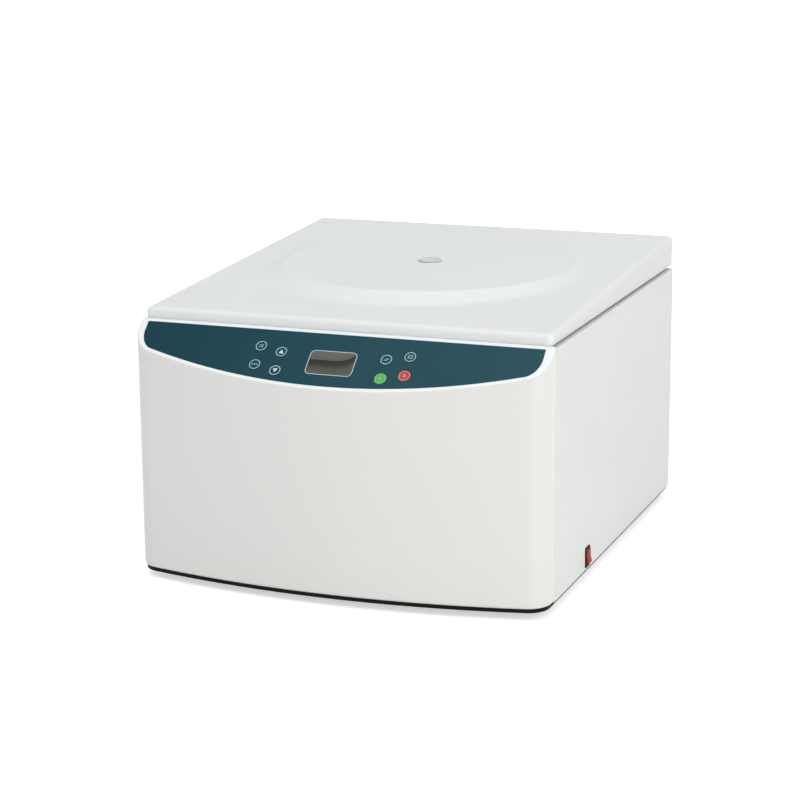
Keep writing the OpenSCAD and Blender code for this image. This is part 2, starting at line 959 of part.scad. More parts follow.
module shaft_seal() {
    rim = bowl_floor_z + throat_h + gap;
    low = rim - seal_t;
    top = rim + seal_t - 1;
    bore = shaft_r + play;
    plug = throat_r - gap;
    skirt = throat_r + bowl_t + 1.5;
    color("dimgray")
        at_seam()
            translate([0, chamber_y, 0])
                rotate_extrude()
                    polygon([
                        [bore, low], [plug, low], [plug, rim], [skirt, rim], [skirt, top],
                        [plug - 4, top], [bore + 3, top + seal_lip], [bore, top + seal_lip]
                    ]);
}

module support_frame() {
    hole_w = 50;
    hole_at = leg_x - leg_w / 2 - hole_w / 2 - 10;
    color("gray")
        at_seam()
            translate([0, chamber_y, 0])
                difference() {
                    union() {
                        block([-leg_x - leg_w / 2, -leg_x - leg_w / 2, frame_z],
                            [leg_x + leg_w / 2, leg_x + leg_w / 2, frame_top]);
                        for (x = [-leg_x, leg_x], y = [-leg_x, leg_x])
                            translate([x, y, 0])
                                difference() {
                                    block([-leg_w / 2, -leg_w / 2, body_z],
                                        [leg_w / 2, leg_w / 2, frame_z + eps]);
                                    block([-leg_w / 2 + sheet, -leg_w / 2 + sheet, body_z + sheet],
                                        [leg_w / 2 - sheet, leg_w / 2 - sheet, frame_z]);
                                }
                    }
                    rod_z(throat_r + 6, 0, top_z);
                    // Lightening holes beside the motor
                    for (x = [-hole_at, hole_at], y = [-hole_at, hole_at])
                        translate([x, y, frame_z - 1])
                            linear_extrude(frame_t + 2)
                                round_rect(hole_w, hole_w, 10);
                }
}

module damper_places() {
    for (a = [45 : 90 : 315])
        rotate([0, 0, a])
            translate([damper_at, 0, 0])
                children();
}

module vibration_dampers() {
    waist = damper_r - 3;
    color("black")
        at_seam()
            translate([0, chamber_y, 0])
                damper_places() {
                    rod_z(damper_r, flange_top, flange_top + damper_h / 3);
                    rod_z(waist, flange_top, frame_z);
                    rod_z(damper_r, frame_z - damper_h / 3, frame_z);
                }
}

module motor_housing() {
    rib = 4;
    color("dimgray")
        at_seam()
            translate([0, chamber_y, 0])
                difference() {
                    union() {
                        rod_z(flange_r, can_top, flange_top);
                        rod_z(motor_r, can_bottom, can_top + eps);
                        // Cooling ribs
                        for (a = [0 : 15 : 345])
                            rotate([0, 0, a])
                                block([motor_r - 1, -1.2, can_bottom + 6],
                                    [motor_r + rib, 1.2, can_top + eps]);
                    }
                    rod_z(motor_r - can_wall, can_bottom - 1, upper_bearing_z - seat_web);
                    rod_z(bearing_r + gap / 3, upper_bearing_z, flange_top + 1);
                    rod_z(bearing_r - seat_web, 0, top_z);
                }
}

module motor_end_bell() {
    color("gray")
        at_seam()
            translate([0, chamber_y, 0])
                difference() {
                    union() {
                        rod_z(motor_r, can_bottom - bell_t, can_bottom);
                        rod_z(bearing_r + seat_web, can_bottom - eps, lower_bearing_z + bearing_h);
                    }
                    rod_z(bearing_r + gap / 3, lower_bearing_z, lower_bearing_z + bearing_h + 1);
                    rod_z(bearing_r - seat_web, 0, top_z);
                }
}

module bearing(z) {
    color("silver")
        at_seam()
            translate([0, chamber_y, z])
                difference() {
                    rod_z(bearing_r, 0, bearing_h);
                    rod_z(shaft_r + pin_fit, -1, bearing_h + 1);
                }
}

module drive_shaft() {
    color("silver")
        at_seam()
            translate([0, chamber_y, 0]) {
                rod_z(shaft_r, shaft_bottom, hub_z + hub_h + nut_h - 4);
                rod_z(collar_r, hub_z - collar_h, hub_z);
            }
}

module motor_rotor() {
    low = lower_bearing_z + bearing_h + seat_web;
    high = upper_bearing_z - 2 * seat_web;
    color("slategray")
        at_seam()
            translate([0, chamber_y, 0])
                difference() {
                    rod_z(motor_r - 2 * can_wall, low, high);
                    rod_z(shaft_r + pin_fit, low - 1, high + 1);
                }
}

module rotor_yoke() {
    arm_end = arm_y + arm_t;
    color("silver")
        at_seam()
            translate([0, chamber_y, 0])
                difference() {
                    union() {
                        rod_z(hub_r, hub_z, hub_z + hub_h);
                        // The cross beam, waisted towards the hub
                        translate([0, 0, pivot_z - beam_h / 2])
                            linear_extrude(beam_h)
                                difference() {
                                    square([beam_w * 3, 2 * arm_y + 2], center = true);
                                    for (x = [-1, 1])
                                        translate([x * (beam_w + beam_waist), 0])
                                            circle(beam_waist, $fn = 360);
                                }
                        // The arms, with round ends about the trunnions
                        back_and_front()
                            translate([0, arm_y, pivot_z]) {
                                block([-trunnion_x, 0, -arm_h / 2], [trunnion_x, arm_t, arm_h / 2]);
                                for (x = [-trunnion_x, trunnion_x])
                                    translate([x, 0, 0])
                                        rod_y(arm_h / 2, 0, arm_t);
                            }
                    }
                    rod_z(shaft_r + pin_fit, 0, top_z);
                    trunnion_places()
                        rod_y(trunnion_r + gap / 3, arm_y - 1, arm_end + 1);
                    // Windows that lighten the arms
                    for (x = [-1, 1])
                        translate([x * trunnion_x * 0.56, 0, pivot_z])
                            rotate([90, 0, 0])
                                translate([0, 0, -arm_end - 1])
                                    linear_extrude(2 * (arm_end + 1))
                                        round_rect(arm_window, arm_h / 2, 4);
                }
}

// Each trunnion, as if on the far side, turned about the rotor's axis
module trunnion_places() {
    back_and_front()
        for (x = [-trunnion_x, trunnion_x])
            translate([x, 0, pivot_z])
                children();
}

module trunnion_pins() {
    color("silver")
        at_seam()
            translate([0, chamber_y, 0])
                trunnion_places() {
                    rod_y(trunnion_r, bucket_half_l - bucket_t + 1, arm_y + arm_t);
                    rod_y(trunnion_r + 2, arm_y + arm_t, arm_y + arm_t + 2);
                }
}

module rotor_nut() {
    low = hub_z + hub_h;
    color("dimgray")
        at_seam()
            translate([0, chamber_y, 0])
                difference() {
                    union() {
                        rod_z(nut_r, low, low + nut_h - 1);
                        translate([0, 0, low + nut_h - 1])
                            cylinder(r1 = nut_r, r2 = nut_r - 1, h = 1);
                    }
                    rod_z(shaft_r + pin_fit, low - 1, low + nut_h - 3);
                    // Grip flutes
                    for (a = [0 : 30 : 330])
                        rotate([0, 0, a])
                            translate([nut_r + 1, 0, 0])
                                rod_z(2, low + 3, low + nut_h + 1);
                }
}

module bucket(side) {
    low = pivot_z - bucket_drop;
    high = pivot_z + bucket_rise;
    color("silver")
        at_seam()
            translate([side * trunnion_x, chamber_y, 0])
                difference() {
                    union() {
                        translate([0, 0, low])
                            linear_extrude(high - low)
                                round_rect(2 * bucket_half_w, 2 * bucket_half_l, 5);
                        back_and_front()
                            translate([0, 0, pivot_z]) {
                                rod_y(boss_r, bucket_half_l - 1, boss_y);
                                block([-boss_r, bucket_half_l - 1, 8 - bucket_drop],
                                    [boss_r, bucket_half_l + boss_t / 2, 0]);
                            }
                    }
                    translate([0, 0, low + bucket_t])
                        linear_extrude(high - low)
                            round_rect(cavity_w, cavity_l, 2);
                    back_and_front()
                        translate([0, 0, pivot_z])
                            rod_y(trunnion_r + pin_fit, bucket_half_l - bucket_t + gap, boss_y + 1);
                    // Finger notches in the long walls
                    translate([0, 0, high])
                        rotate([90, 0, 90])
                            translate([0, 0, -bucket_half_w - 1])
                                linear_extrude(2 * bucket_half_w + 2)
                                    round_rect(notch_w, 2 * notch_d, 8);
                    // Drain holes in the floor
                    for (x = [-1, 1], y = [-1, 1])
                        translate([x * cavity_w / 4, y * cavity_l / 4, 0])
                            rod_z(drain_r, low - 1, high);
                }
}

// Section of the lid along its length
module lid_profile(inset, low) {
    front = inset;
    back = lid_l - inset;
    r = max(0.5, lid_edge_r - inset);
    slope = lid_slope;
    top = inset / cos(slope);
    // Middles of the two rounded upper edges
    fz = lid_top(front + r) - top - r / cos(slope);
    bz = lid_top(back - r) - top - r / cos(slope);
    difference() {
        polygon([[front, low], [back, low], [back, lid_top(back) - top], [front, lid_top(front) - top]]);
        translate([front - 1, fz])
            square([r + 1, 50]);
        polygon([[back - r, bz], [back + 1, bz], [back + 1, bz + 50], [back - r, bz + 50]]);
    }
    for (p = [[front + r, fz], [back - r, bz]])
        translate(p)
            circle(r);
}

// The wedge: plan, long section and cross section, met in one solid
module lid_wedge(inset, low) {
    r = max(0.5, lid_edge_r - inset);
    half = lid_half - inset;
    deep = 60;
    intersection() {
        translate([0, lid_l / 2, low - 1])
            linear_extrude(100)
                round_rect(2 * half, lid_l - 2 * inset, max(1, lid_corner_r - inset));
        rotate([90, 0, 90])
            translate([0, 0, -half - 1])
                linear_extrude(2 * half + 2)
                    lid_profile(inset, low);
        translate([0, 0, lid_top(0) - inset / cos(lid_slope)])
            rotate([90 + lid_slope, 0, 0])
                translate([0, 0, -lid_l - 40])
                    linear_extrude(lid_l + 80) {
                        translate([-half, -deep])
                            square([2 * half, deep - r]);
                        translate([-half + r, -deep])
                            square([2 * half - 2 * r, deep]);
                        for (x = [-1, 1])
                            translate([x * (half - r), -r])
                                circle(r);
                    }
    }
}

// The plateau: a cone that rises out of the wedge, thick at the front and thin at the back
module plateau() {
    translate([0, chamber_y, dome_mid_z])
        rotate([dome_a, 0, 0])
            translate([0, 0, -dome_depth])
                cylinder(r1 = dome_r + dome_flank * dome_depth / dome_front_h, r2 = dome_r,
                    h = dome_depth, $fn = 240);
}

module lid_cover() {
    color("whitesmoke")
        at_seam()
            difference() {
                union() {
                    lid_wedge(0, lid_z);
                    intersection() {
                        plateau();
                        block([-lid_half + lid_edge_r, lid_edge_r, lid_z + 3],
                            [lid_half - lid_edge_r, lid_l - lid_edge_r, lid_z + 80]);
                    }
                }
                lid_wedge(lid_wall, lid_z - 1);
                translate([0, chamber_y, 0])
                    rod_z(sight_r + sleeve + gap, 0, 400);
            }
}

module lid_liner() {
    rear = hinge_y - barrel_r - 4;
    color("lightgray")
        at_seam()
            difference() {
                translate([0, (lid_wall + gap + rear) / 2, liner_z])
                    linear_extrude(liner_t)
                        round_rect(2 * (lid_half - lid_wall - gap), rear - lid_wall - gap, 4);
                translate([0, chamber_y, 0])
                    rod_z(sight_r + sleeve + gap, 0, 400);
            }
}

module sight_sleeve() {
    color("lightgray")
        at_seam()
            translate([0, chamber_y, 0])
                difference() {
                    union() {
                        rod_z(sight_r + sleeve, liner_z, ring_low + eps);
                        rod_z(sight_r + sleeve + 3, liner_z - ring_t, liner_z);
                        rod_z(sight_r + sleeve + ring_t, ring_low, ring_low + ring_t);
                    }
                    rod_z(sight_r - 1.5, 0, sight_top + 1);
                    rod_z(sight_r + gap / 2, sight_top - sight_t, sight_top + 1);
                }
}

module sight_glass() {
    color("palegoldenrod")
        at_seam()
            translate([0, chamber_y, 0])
                rod_z(sight_r, sight_top - sight_t, sight_top);
}

module latch_striker() {
    leg = 2;
    color("silver")
        at_seam()
            translate([0, striker_y, 0]) {
                block([-striker_w / 2 - 8, -7, liner_z - 1.5], [striker_w / 2 + 8, 7, liner_z]);
                for (x = [-striker_w / 2, striker_w / 2])
                    translate([x, 0, 0])
                        rod_z(leg, bar_z, liner_z - 1);
                translate([0, 0, bar_z])
                    rod_x(striker_r, -striker_w / 2 - leg, striker_w / 2 + leg);
            }
}

// Everything of a hinge that has the barrel's place: knuckles, counted from one end
module knuckle_rods(first, r) {
    for (n = [first : 2 : knuckles - 1])
        rod_x(r, (n - knuckles / 2) * knuckle_w + gap / 2, (n + 1 - knuckles / 2) * knuckle_w - gap / 2);
}

module hinge_places() {
    for (x = [-hinge_x, hinge_x])
        translate([x, hinge_y, hinge_z])
            children();
}

module hinge_cabinet_leaves() {
    color("silver")
        at_seam()
            hinge_places()
                difference() {
                    union() {
                        knuckle_rods(0, barrel_r);
                        for (n = [0 : 2 : knuckles - 1])
                            block([(n - knuckles / 2) * knuckle_w + gap / 2, -barrel_r - gap, -leaf_h],
                                [(n + 1 - knuckles / 2) * knuckle_w - gap / 2, leaf_t - barrel_r - gap, 0]);
                        block([-hinge_w / 2 + gap / 2, -barrel_r - gap, -leaf_h],
                            [hinge_w / 2 - gap / 2, leaf_t - barrel_r - gap, -barrel_r - 2]);
                        // Web between the leaf and the barrel
                        for (n = [0 : 2 : knuckles - 1])
                            block([(n - knuckles / 2) * knuckle_w + gap / 2, -barrel_r - gap, -barrel_r],
                                [(n + 1 - knuckles / 2) * knuckle_w - gap / 2, 0, 0]);
                    }
                    rod_x(hinge_pin_r + pin_fit, -hinge_w, hinge_w);
                }
}

module hinge_lid_leaves() {
    back = lid_l - hinge_y - lid_wall - gap / 3;
    color("silver")
        at_seam()
            hinge_places()
                difference() {
                    union() {
                        knuckle_rods(1, barrel_r);
                        for (n = [1 : 2 : knuckles - 1])
                            block([(n - knuckles / 2) * knuckle_w + gap / 2, back - leaf_t, 0],
                                [(n + 1 - knuckles / 2) * knuckle_w - gap / 2, back, barrel_r + 3]);
                        block([-hinge_w / 2, back - leaf_t, barrel_r + 2],
                            [hinge_w / 2, back, barrel_r + lid_rear_h - lid_wall - 8]);
                    }
                    rod_x(hinge_pin_r + pin_fit, -hinge_w, hinge_w);
                }
}

module hinge_pins() {
    color("silver")
        at_seam()
            hinge_places() {
                rod_x(hinge_pin_r, -hinge_w / 2, hinge_w / 2);
                left_and_right()
                    rod_x(hinge_pin_r + 1.2, hinge_w / 2, hinge_w / 2 + 1.2);
            }
}

module latch_bracket() {
    inside = solenoid_w;
    low = solenoid_low;
    front = solenoid_y - sheet;
    back = pivot_y + 8;
    color("gray")
        at_seam()
            difference() {
                union() {
                    left_and_right() {
                        block([inside, front, low - sheet], [inside + sheet, back, deck_under]);
                        block([inside, front, deck_under - sheet], [inside + fold_w, back, deck_under]);
                    }
                    block([-inside - eps, front, low - sheet], [inside + eps, solenoid_y + solenoid_l, low]);
                }
                translate([0, pivot_y, hook_z])
                    rod_x(pivot_r + gap / 3, -inside - 10, inside + 10);
            }
}

module latch_pin() {
    side = solenoid_w + sheet;
    color("silver")
        at_seam()
            translate([0, pivot_y, hook_z]) {
                rod_x(pivot_r, -side - 1.5, side + 1.5);
                left_and_right()
                    rod_x(pivot_r + 1.5, hook_t / 2 + play / 2, solenoid_w - gap / 3);
            }
}

module latch_solenoid() {
    color("goldenrod")
        at_seam()
            difference() {
                block([-solenoid_w + gap / 3, solenoid_y, solenoid_low],
                    [solenoid_w - gap / 3, solenoid_y + solenoid_l, solenoid_high]);
                translate([0, 0, tail_z])
                    rod_y(plunger_r + pin_fit, solenoid_y + bore_end, solenoid_y + solenoid_l + 1);
            }
}

// Side view of the hook, about its pivot: Y to the back and Z up
module hook_outline(slot_l) {
    nose = hook_down + striker_r + play;
    lip = hook_back + striker_r + 2 * play;
    half = 5;
    rise = 7;
    union() {
        circle(half + 3);
        polygon([
            [-half, 0], [half + 1, 0], [half + 1, nose - 2], [half - 1, nose + rise - 2],
            [-2, nose + rise], [-half, nose]
        ]);
        // The nose reaches over the bar
        polygon([
            [0, nose], [0, nose + rise - 0.5], [-hook_back - 1, nose + rise - 3],
            [-lip - 1.2, nose - 1.5], [-lip, nose - 1.5], [-lip, nose]
        ]);
        translate([-tail_half, -tail_down - slot_l])
            square([2 * tail_half, tail_down + slot_l]);
    }
}

module latch_hook() {
    slot_l = 7.5;
    color("silver")
        at_seam()
            translate([-hook_t / 2, pivot_y, hook_z])
                rotate([90, 0, 90])
                    linear_extrude(hook_t)
                        difference() {
                            hook_outline(slot_l);
                            circle(pivot_r + pin_fit);
                            translate([0, -tail_down])
                                round_rect(2 * tail_pin_r + 3 * play, slot_l, tail_pin_r);
                        }
}

module solenoid_plunger() {
    ear = hook_t / 2 + play;
    ear_t = 2;
    color("silver")
        at_seam()
            translate([0, 0, tail_z]) {
                rod_y(plunger_r, solenoid_y + bore_end + plunger_travel + 1, plunger_end + 1);
                // The fork: a bridge and two ears, with the pin between them
                block([-ear - ear_t, plunger_end, -plunger_r],
                    [ear + ear_t, pivot_y - tail_sweep, plunger_r]);
                left_and_right()
                    block([ear, plunger_end, -plunger_r], [ear + ear_t, pivot_y + plunger_r, plunger_r]);
                translate([0, pivot_y, 0])
                    rod_x(tail_pin_r, -ear - ear_t, ear + ear_t);
            }
}

module switch_frame() {
    frame_rim = 0.9;
    frame_in = 8;
    color("black")
        at_seam()
            translate([half_w, switch_y, switch_z])
                rotate([90, 0, 90])
                    difference() {
                        union() {
                            linear_extrude(frame_rim)
                                round_rect(switch_w, switch_h, 1.5);
                            translate([0, 0, -sheet - frame_in])
                                linear_extrude(sheet + frame_in + eps)
                                    round_rect(switch_w - 2 - 2 * gap, switch_h - 2 - 2 * gap, 0.6);
                        }
                        translate([0, 0, -sheet - frame_in + 2])
                            linear_extrude(30)
                                square([switch_w - 2 * bezel, switch_h - 2 * bezel], center = true);
                    }
}

// The rocker turns about a pin behind its face, between two flats that meet in the middle
module switch_rocker() {
    half = switch_w / 2 - bezel - gap;
    color("crimson")
        at_seam()
            translate([half_w - rocker_in, switch_y, switch_z])
                difference() {
                    rod_y(rocker_r, -half, half);
                    // Outer face, at two slopes
                    for (s = [-1, 1])
                        rotate([0, rocker_tilt * s - rocker_tilt, 0])
                            block([rocker_face, -switch_h, s > 0 ? 0 : -switch_h],
                                [switch_h, switch_h, s > 0 ? switch_h : 0]);
                    block([-switch_h, -switch_h, -switch_h], [-rocker_back, switch_h, switch_h]);
                }
}

// The mains inlet seen from behind: X to its right, Y up and Z out of the rear panel
module at_inlet() {
    at_seam()
        translate([inlet_x, body_d, body_z + inlet_z])
            rotate([90, 0, 180])
                children();
}

module mains_inlet() {
    half = socket_w / 2;
    slant = socket_h * 0.28;
    color("black")
        at_inlet()
            difference() {
                union() {
                    linear_extrude(inlet_t)
                        difference() {
                            round_rect(inlet_w, inlet_h, 4);
                            for (x = [-1, 1])
                                translate([x * (inlet_w + inlet_in_w) / 4 + x * 1.5, 0])
                                    circle(screw_r + gap);
                        }
                    translate([0, 0, -inlet_in])
                        linear_extrude(inlet_in + eps)
                            round_rect(inlet_in_w, inlet_in_h, 1);
                }
                // The socket, with two slanted corners
                translate([0, socket_z, -socket_in])
                    linear_extrude(socket_in + 2 * inlet_t)
                        polygon([
                            [-half, -socket_h / 2], [half, -socket_h / 2], [half, socket_h / 2 - slant],
                            [half - slant, socket_h / 2], [slant - half, socket_h / 2],
                            [-half, socket_h / 2 - slant]
                        ]);
                // The fuse drawer's well
                translate([0, drawer_z, -socket_in - 4])
                    linear_extrude(socket_in + 3 * inlet_t)
                        square([drawer_w, drawer_h], center = true);
            }
}

module inlet_pins() {
    pin_w = 2;
    pin_h = 4;
    color("silver")
        at_inlet()
            for (p = [[-7, -2], [7, -2], [0, 2]])
                translate([p[0], socket_z + p[1], -socket_in])
                    linear_extrude(socket_in - 3.5)
                        square([pin_w, pin_h], center = true);
}

module fuse_drawer() {
    face = inlet_t - 0.4;
    color("black")
        at_inlet()
            translate([0, drawer_z, 0]) {
                translate([0, 0, -socket_in - 3])
                    linear_extrude(socket_in + 3 + face)
                        square([drawer_w - 2 * gap, drawer_h - 2 * gap], center = true);
                // Grip
                translate([0, 0, face - eps])
                    linear_extrude(1)
                        square([drawer_w / 3, drawer_h / 3], center = true);
            }
}

module drive_board() {
    post_h = 6;
    low = post_h + board_t - eps;
    sink_y = 0.63 * drive_d;
    edge = drive_w / 2;
    color("darkgreen")
        at_seam()
            translate([0, 30, body_z]) {
                translate([0, drive_d / 2, post_h])
                    linear_extrude(board_t)
                        round_rect(drive_w, drive_d, 3);
                for (x = [post_inset - edge, edge - post_inset], y = [post_inset, drive_d - post_inset])
                    translate([x, y, 0])
                        rod_z(post_r, 0, post_h + eps);
                // Heat sink with its fins
                block([4 - edge, sink_y, low], [edge - 24, sink_y + 4, drive_h - 4]);
                for (x = [4 - edge : 8 : edge - 28])
                    block([x, sink_y, low], [x + 2, sink_y + 16, drive_h - 4]);
                // Capacitors and a choke
                for (n = [0 : 2])
                    translate([28 * n - edge + 25, drive_d / 3, 0])
                        rod_z(10, low, drive_h);
                block([edge - 29, drive_d / 6, low], [edge - 7, drive_d / 2, drive_h - 10]);
            }
}

module mains_transformer() {
    pad_h = 6;
    bolt_r = 4;
    color("peru")
        at_seam()
            translate([-coil_x, body_d - coil_out - 22, body_z]) {
                difference() {
                    rod_z(coil_out, pad_h, pad_h + coil_h);
                    rod_z(coil_in, pad_h - 1, pad_h + coil_h + 1);
                }
                // Pad, washer and the bolt through the ring
                rod_z(coil_out - 4, 0, pad_h + eps);
                rod_z(coil_in + 6, pad_h + coil_h - eps, pad_h + coil_h + 2);
                rod_z(bolt_r, pad_h, pad_h + coil_h + 2 * bolt_r);
            }
}

base_tray();
rubber_feet();
left_side_panel();
right_side_panel();
rear_panel();
rear_screws();
front_fascia();
keypad_membrane();
display_window();
display_module();
control_board();
top_deck();
chamber_bowl();
chamber_gasket();
shaft_seal();
support_frame();
vibration_dampers();
motor_housing();
motor_end_bell();
bearing(upper_bearing_z);  // upper_bearing
bearing(lower_bearing_z);  // lower_bearing
drive_board();
mains_transformer();
mains_inlet();
inlet_pins();
fuse_drawer();
switch_frame();
latch_bracket();
latch_pin();
latch_solenoid();
hinge_cabinet_leaves();
hinge_pins();
lid_cover();
lid_liner();
sight_sleeve();
sight_glass();
latch_striker();
hinge_lid_leaves();
drive_shaft();
motor_rotor();
rotor_yoke();
trunnion_pins();
rotor_nut();
bucket(1);  // bucket_right
bucket(-1);  // bucket_left
latch_hook();
solenoid_plunger();
switch_rocker();
key(-1, 0, 0, "teal");  // key_mode
key(-1, 0, 1, "teal");  // key_set
key(-1, 1, 0, "teal");  // key_up
key(-1, 1, 1, "teal");  // key_down
key(1, 0, 0, "teal");  // key_memory
key(1, 1, 0, "teal");  // key_pulse
key(1, 1, 1, "limegreen");  // key_start
key(1, 0, 1, "red");  // key_stop
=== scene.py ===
"""Looks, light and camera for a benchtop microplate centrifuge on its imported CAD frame.

Lengths are millimetres until a point is handed to Blender, which works in metres. Noise scales,
spans of a piece's own coordinates, the floor and the lamps are in metres from the start.
"""
import json
import math

import bmesh
import bpy
from mathutils import Matrix, Vector


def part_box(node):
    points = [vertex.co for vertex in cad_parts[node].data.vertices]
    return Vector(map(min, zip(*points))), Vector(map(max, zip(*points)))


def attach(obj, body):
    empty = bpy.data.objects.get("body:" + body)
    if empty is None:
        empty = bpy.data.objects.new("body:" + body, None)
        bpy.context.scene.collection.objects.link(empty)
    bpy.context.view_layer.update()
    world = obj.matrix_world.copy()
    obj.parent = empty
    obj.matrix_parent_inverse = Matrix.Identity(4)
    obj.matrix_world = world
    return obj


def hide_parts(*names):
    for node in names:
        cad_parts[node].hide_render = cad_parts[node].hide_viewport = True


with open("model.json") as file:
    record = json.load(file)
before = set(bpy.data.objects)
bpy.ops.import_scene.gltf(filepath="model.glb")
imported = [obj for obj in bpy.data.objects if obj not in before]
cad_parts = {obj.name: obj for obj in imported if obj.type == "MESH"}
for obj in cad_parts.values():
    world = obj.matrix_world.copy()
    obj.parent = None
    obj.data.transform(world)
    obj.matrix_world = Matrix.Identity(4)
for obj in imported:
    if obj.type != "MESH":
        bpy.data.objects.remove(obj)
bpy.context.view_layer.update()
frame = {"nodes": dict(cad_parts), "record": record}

MM = 0.001
QUARTER = math.pi / 2

# The front moulding. Its plan is measured from the seam where it meets the side panels.
SEAM_Y = -200.5
SEAM_GAP = 0.3
BODY_Z = 12.0
HALF_W = 215.0
BOW_R = 869.52
BOW_Y = 816.52
CORNER_R = 25.0
CORNER_Y = BOW_Y - math.sqrt((BOW_R - CORNER_R) ** 2 - (HALF_W - CORNER_R) ** 2)
SHELL = 3.2
FLANGE_W = 16.0
FACET_A = math.radians(41.35)
FACET_Z = 262.6
FACET_ROUND = 3.2
# The lower edge is tighter than the CAD's 5, as in the picture
EDGE_R = 3.0
CORNER_STEPS = 22
BOW_STEPS = 90
ROUND_STEPS = 8

# The film, the keys and the window on the facet, measured along the facet and up from it
FACET = Matrix.Translation(Vector((0, SEAM_Y, FACET_Z)) * MM) @ Matrix.Rotation(FACET_A, 4, "X")
FILM = 0.5
KEY_R = 6.0
KEY_PLAY = 0.4
KEY_RISE = 0.6
KEY_SEAT = 2.3
WINDOW = (47.0, 27.0)
WINDOW_TOP = 25.8
WINDOW_R = 4.5
WINDOW_MIDDLE = -WINDOW_TOP - WINDOW[1] / 2
PANE_DEPTH = 1.4
PANE_LEDGE = 3.0
PANE_HOLE_R = 1.0
POCKET_SIDES = 64
DOT_SIDES = 24
CUT_HIGH = 5.0
CUT_THROUGH = -9.0

# What is printed on keys and film: how far ink stands up and reaches down, and its widths
INK_UP = 0.04
INK_DOWN = 0.02
RING_INSETS = (0.35, 1.25)
WINDOW_LINE = 0.7
STROKE = 0.8

# The lid. Its plan is measured from the seam too.
LID_Z = 263.0
LID_HALF = 211.5
LID_L = 454.0
LID_CORNER_R = 6.0
LID_EDGE_R = 5.0
LID_FRONT_Z = 273.0
LID_SLOPE = math.radians(2.774)
# Its front hangs lower than the CAD's, so that no gap shows, and leans back by this slope
LID_APRON = 0.8
LID_LEAN = 0.08
LID_CORNER_STEPS = 7
LID_SIDE_STEPS = 54
LID_ROUND_STEPS = 9

# The plateau on the lid, over the chamber
CHAMBER_Y = 246.0
DOME_R = 155.0
DOME_FLANK = 26.0
DOME_FRONT_H = 9.0
DOME_REAR_H = 0.6
RIM_BLEND = 0.25
FOOT_BLEND = 2.4
SIGHT_HOLE_R = 11.8
TABLE_RADII = [SIGHT_HOLE_R, 40.0, 90.0, 135.0, 150.0, 153.0]
RIM_RADII = [154.0 + 0.4 * i for i in range(8)]
FLANK_RADII = [157.5 + 1.5 * i for i in range(27)]

# The small round edge of the sheet parts
SHEET_PARTS = ("left_side_panel", "right_side_panel", "rear_panel", "base_tray")
WELD_GAP = 0.002
FLAT_WITHIN = math.radians(0.3)
SHEET_BEVEL = 0.4
SHARP_ABOVE = math.radians(40)

# Where the picture was taken from, found from the corners of the cabinet in it
TARGET = Vector((0.0, -0.5, 162.0))
AZIMUTH = math.radians(20.89)
ELEVATION = math.radians(13.61)
ROLL = math.radians(-0.42)
DISTANCE = 2397.9
SLIDE = (-16.29, -13.21)
SENSOR_MM = 36.0
LENS_MM = 102.46
CLIP_M = (0.1, 50.0)


def put(name, data):
    """A new object in the scene."""
    item = bpy.data.objects.new(name, data)
    bpy.context.scene.collection.objects.link(item)
    return item


def place_camera():
    """Sets the camera where the picture was taken from."""
    back = Vector((
        math.sin(AZIMUTH) * math.cos(ELEVATION),
        -math.cos(AZIMUTH) * math.cos(ELEVATION),
        math.sin(ELEVATION),
    ))
    level = Vector((math.cos(AZIMUTH), math.sin(AZIMUTH), 0.0))
    rise = back.cross(level)
    right = math.cos(ROLL) * level + math.sin(ROLL) * rise
    up = math.cos(ROLL) * rise - math.sin(ROLL) * level
    eye = TARGET + back * DISTANCE + right * SLIDE[0] + up * SLIDE[1]
    data = bpy.data.cameras.new("camera")
    data.sensor_width = SENSOR_MM
    data.lens = LENS_MM
    data.clip_start, data.clip_end = CLIP_M
    camera = put("camera", data)
    turn = Matrix((right, up, back)).transposed().to_4x4()
    camera.matrix_world = Matrix.Translation(eye * MM) @ turn
    bpy.context.scene.camera = camera


# Node trees


# The span of values in which nearly all of a noise lies
NOISE_LOW = 0.3
NOISE_HIGH = 0.7


def shade(color, factor):
    """The colour made darker or paler."""
    return tuple(min(1.0, max(0.0, c * factor)) for c in color)


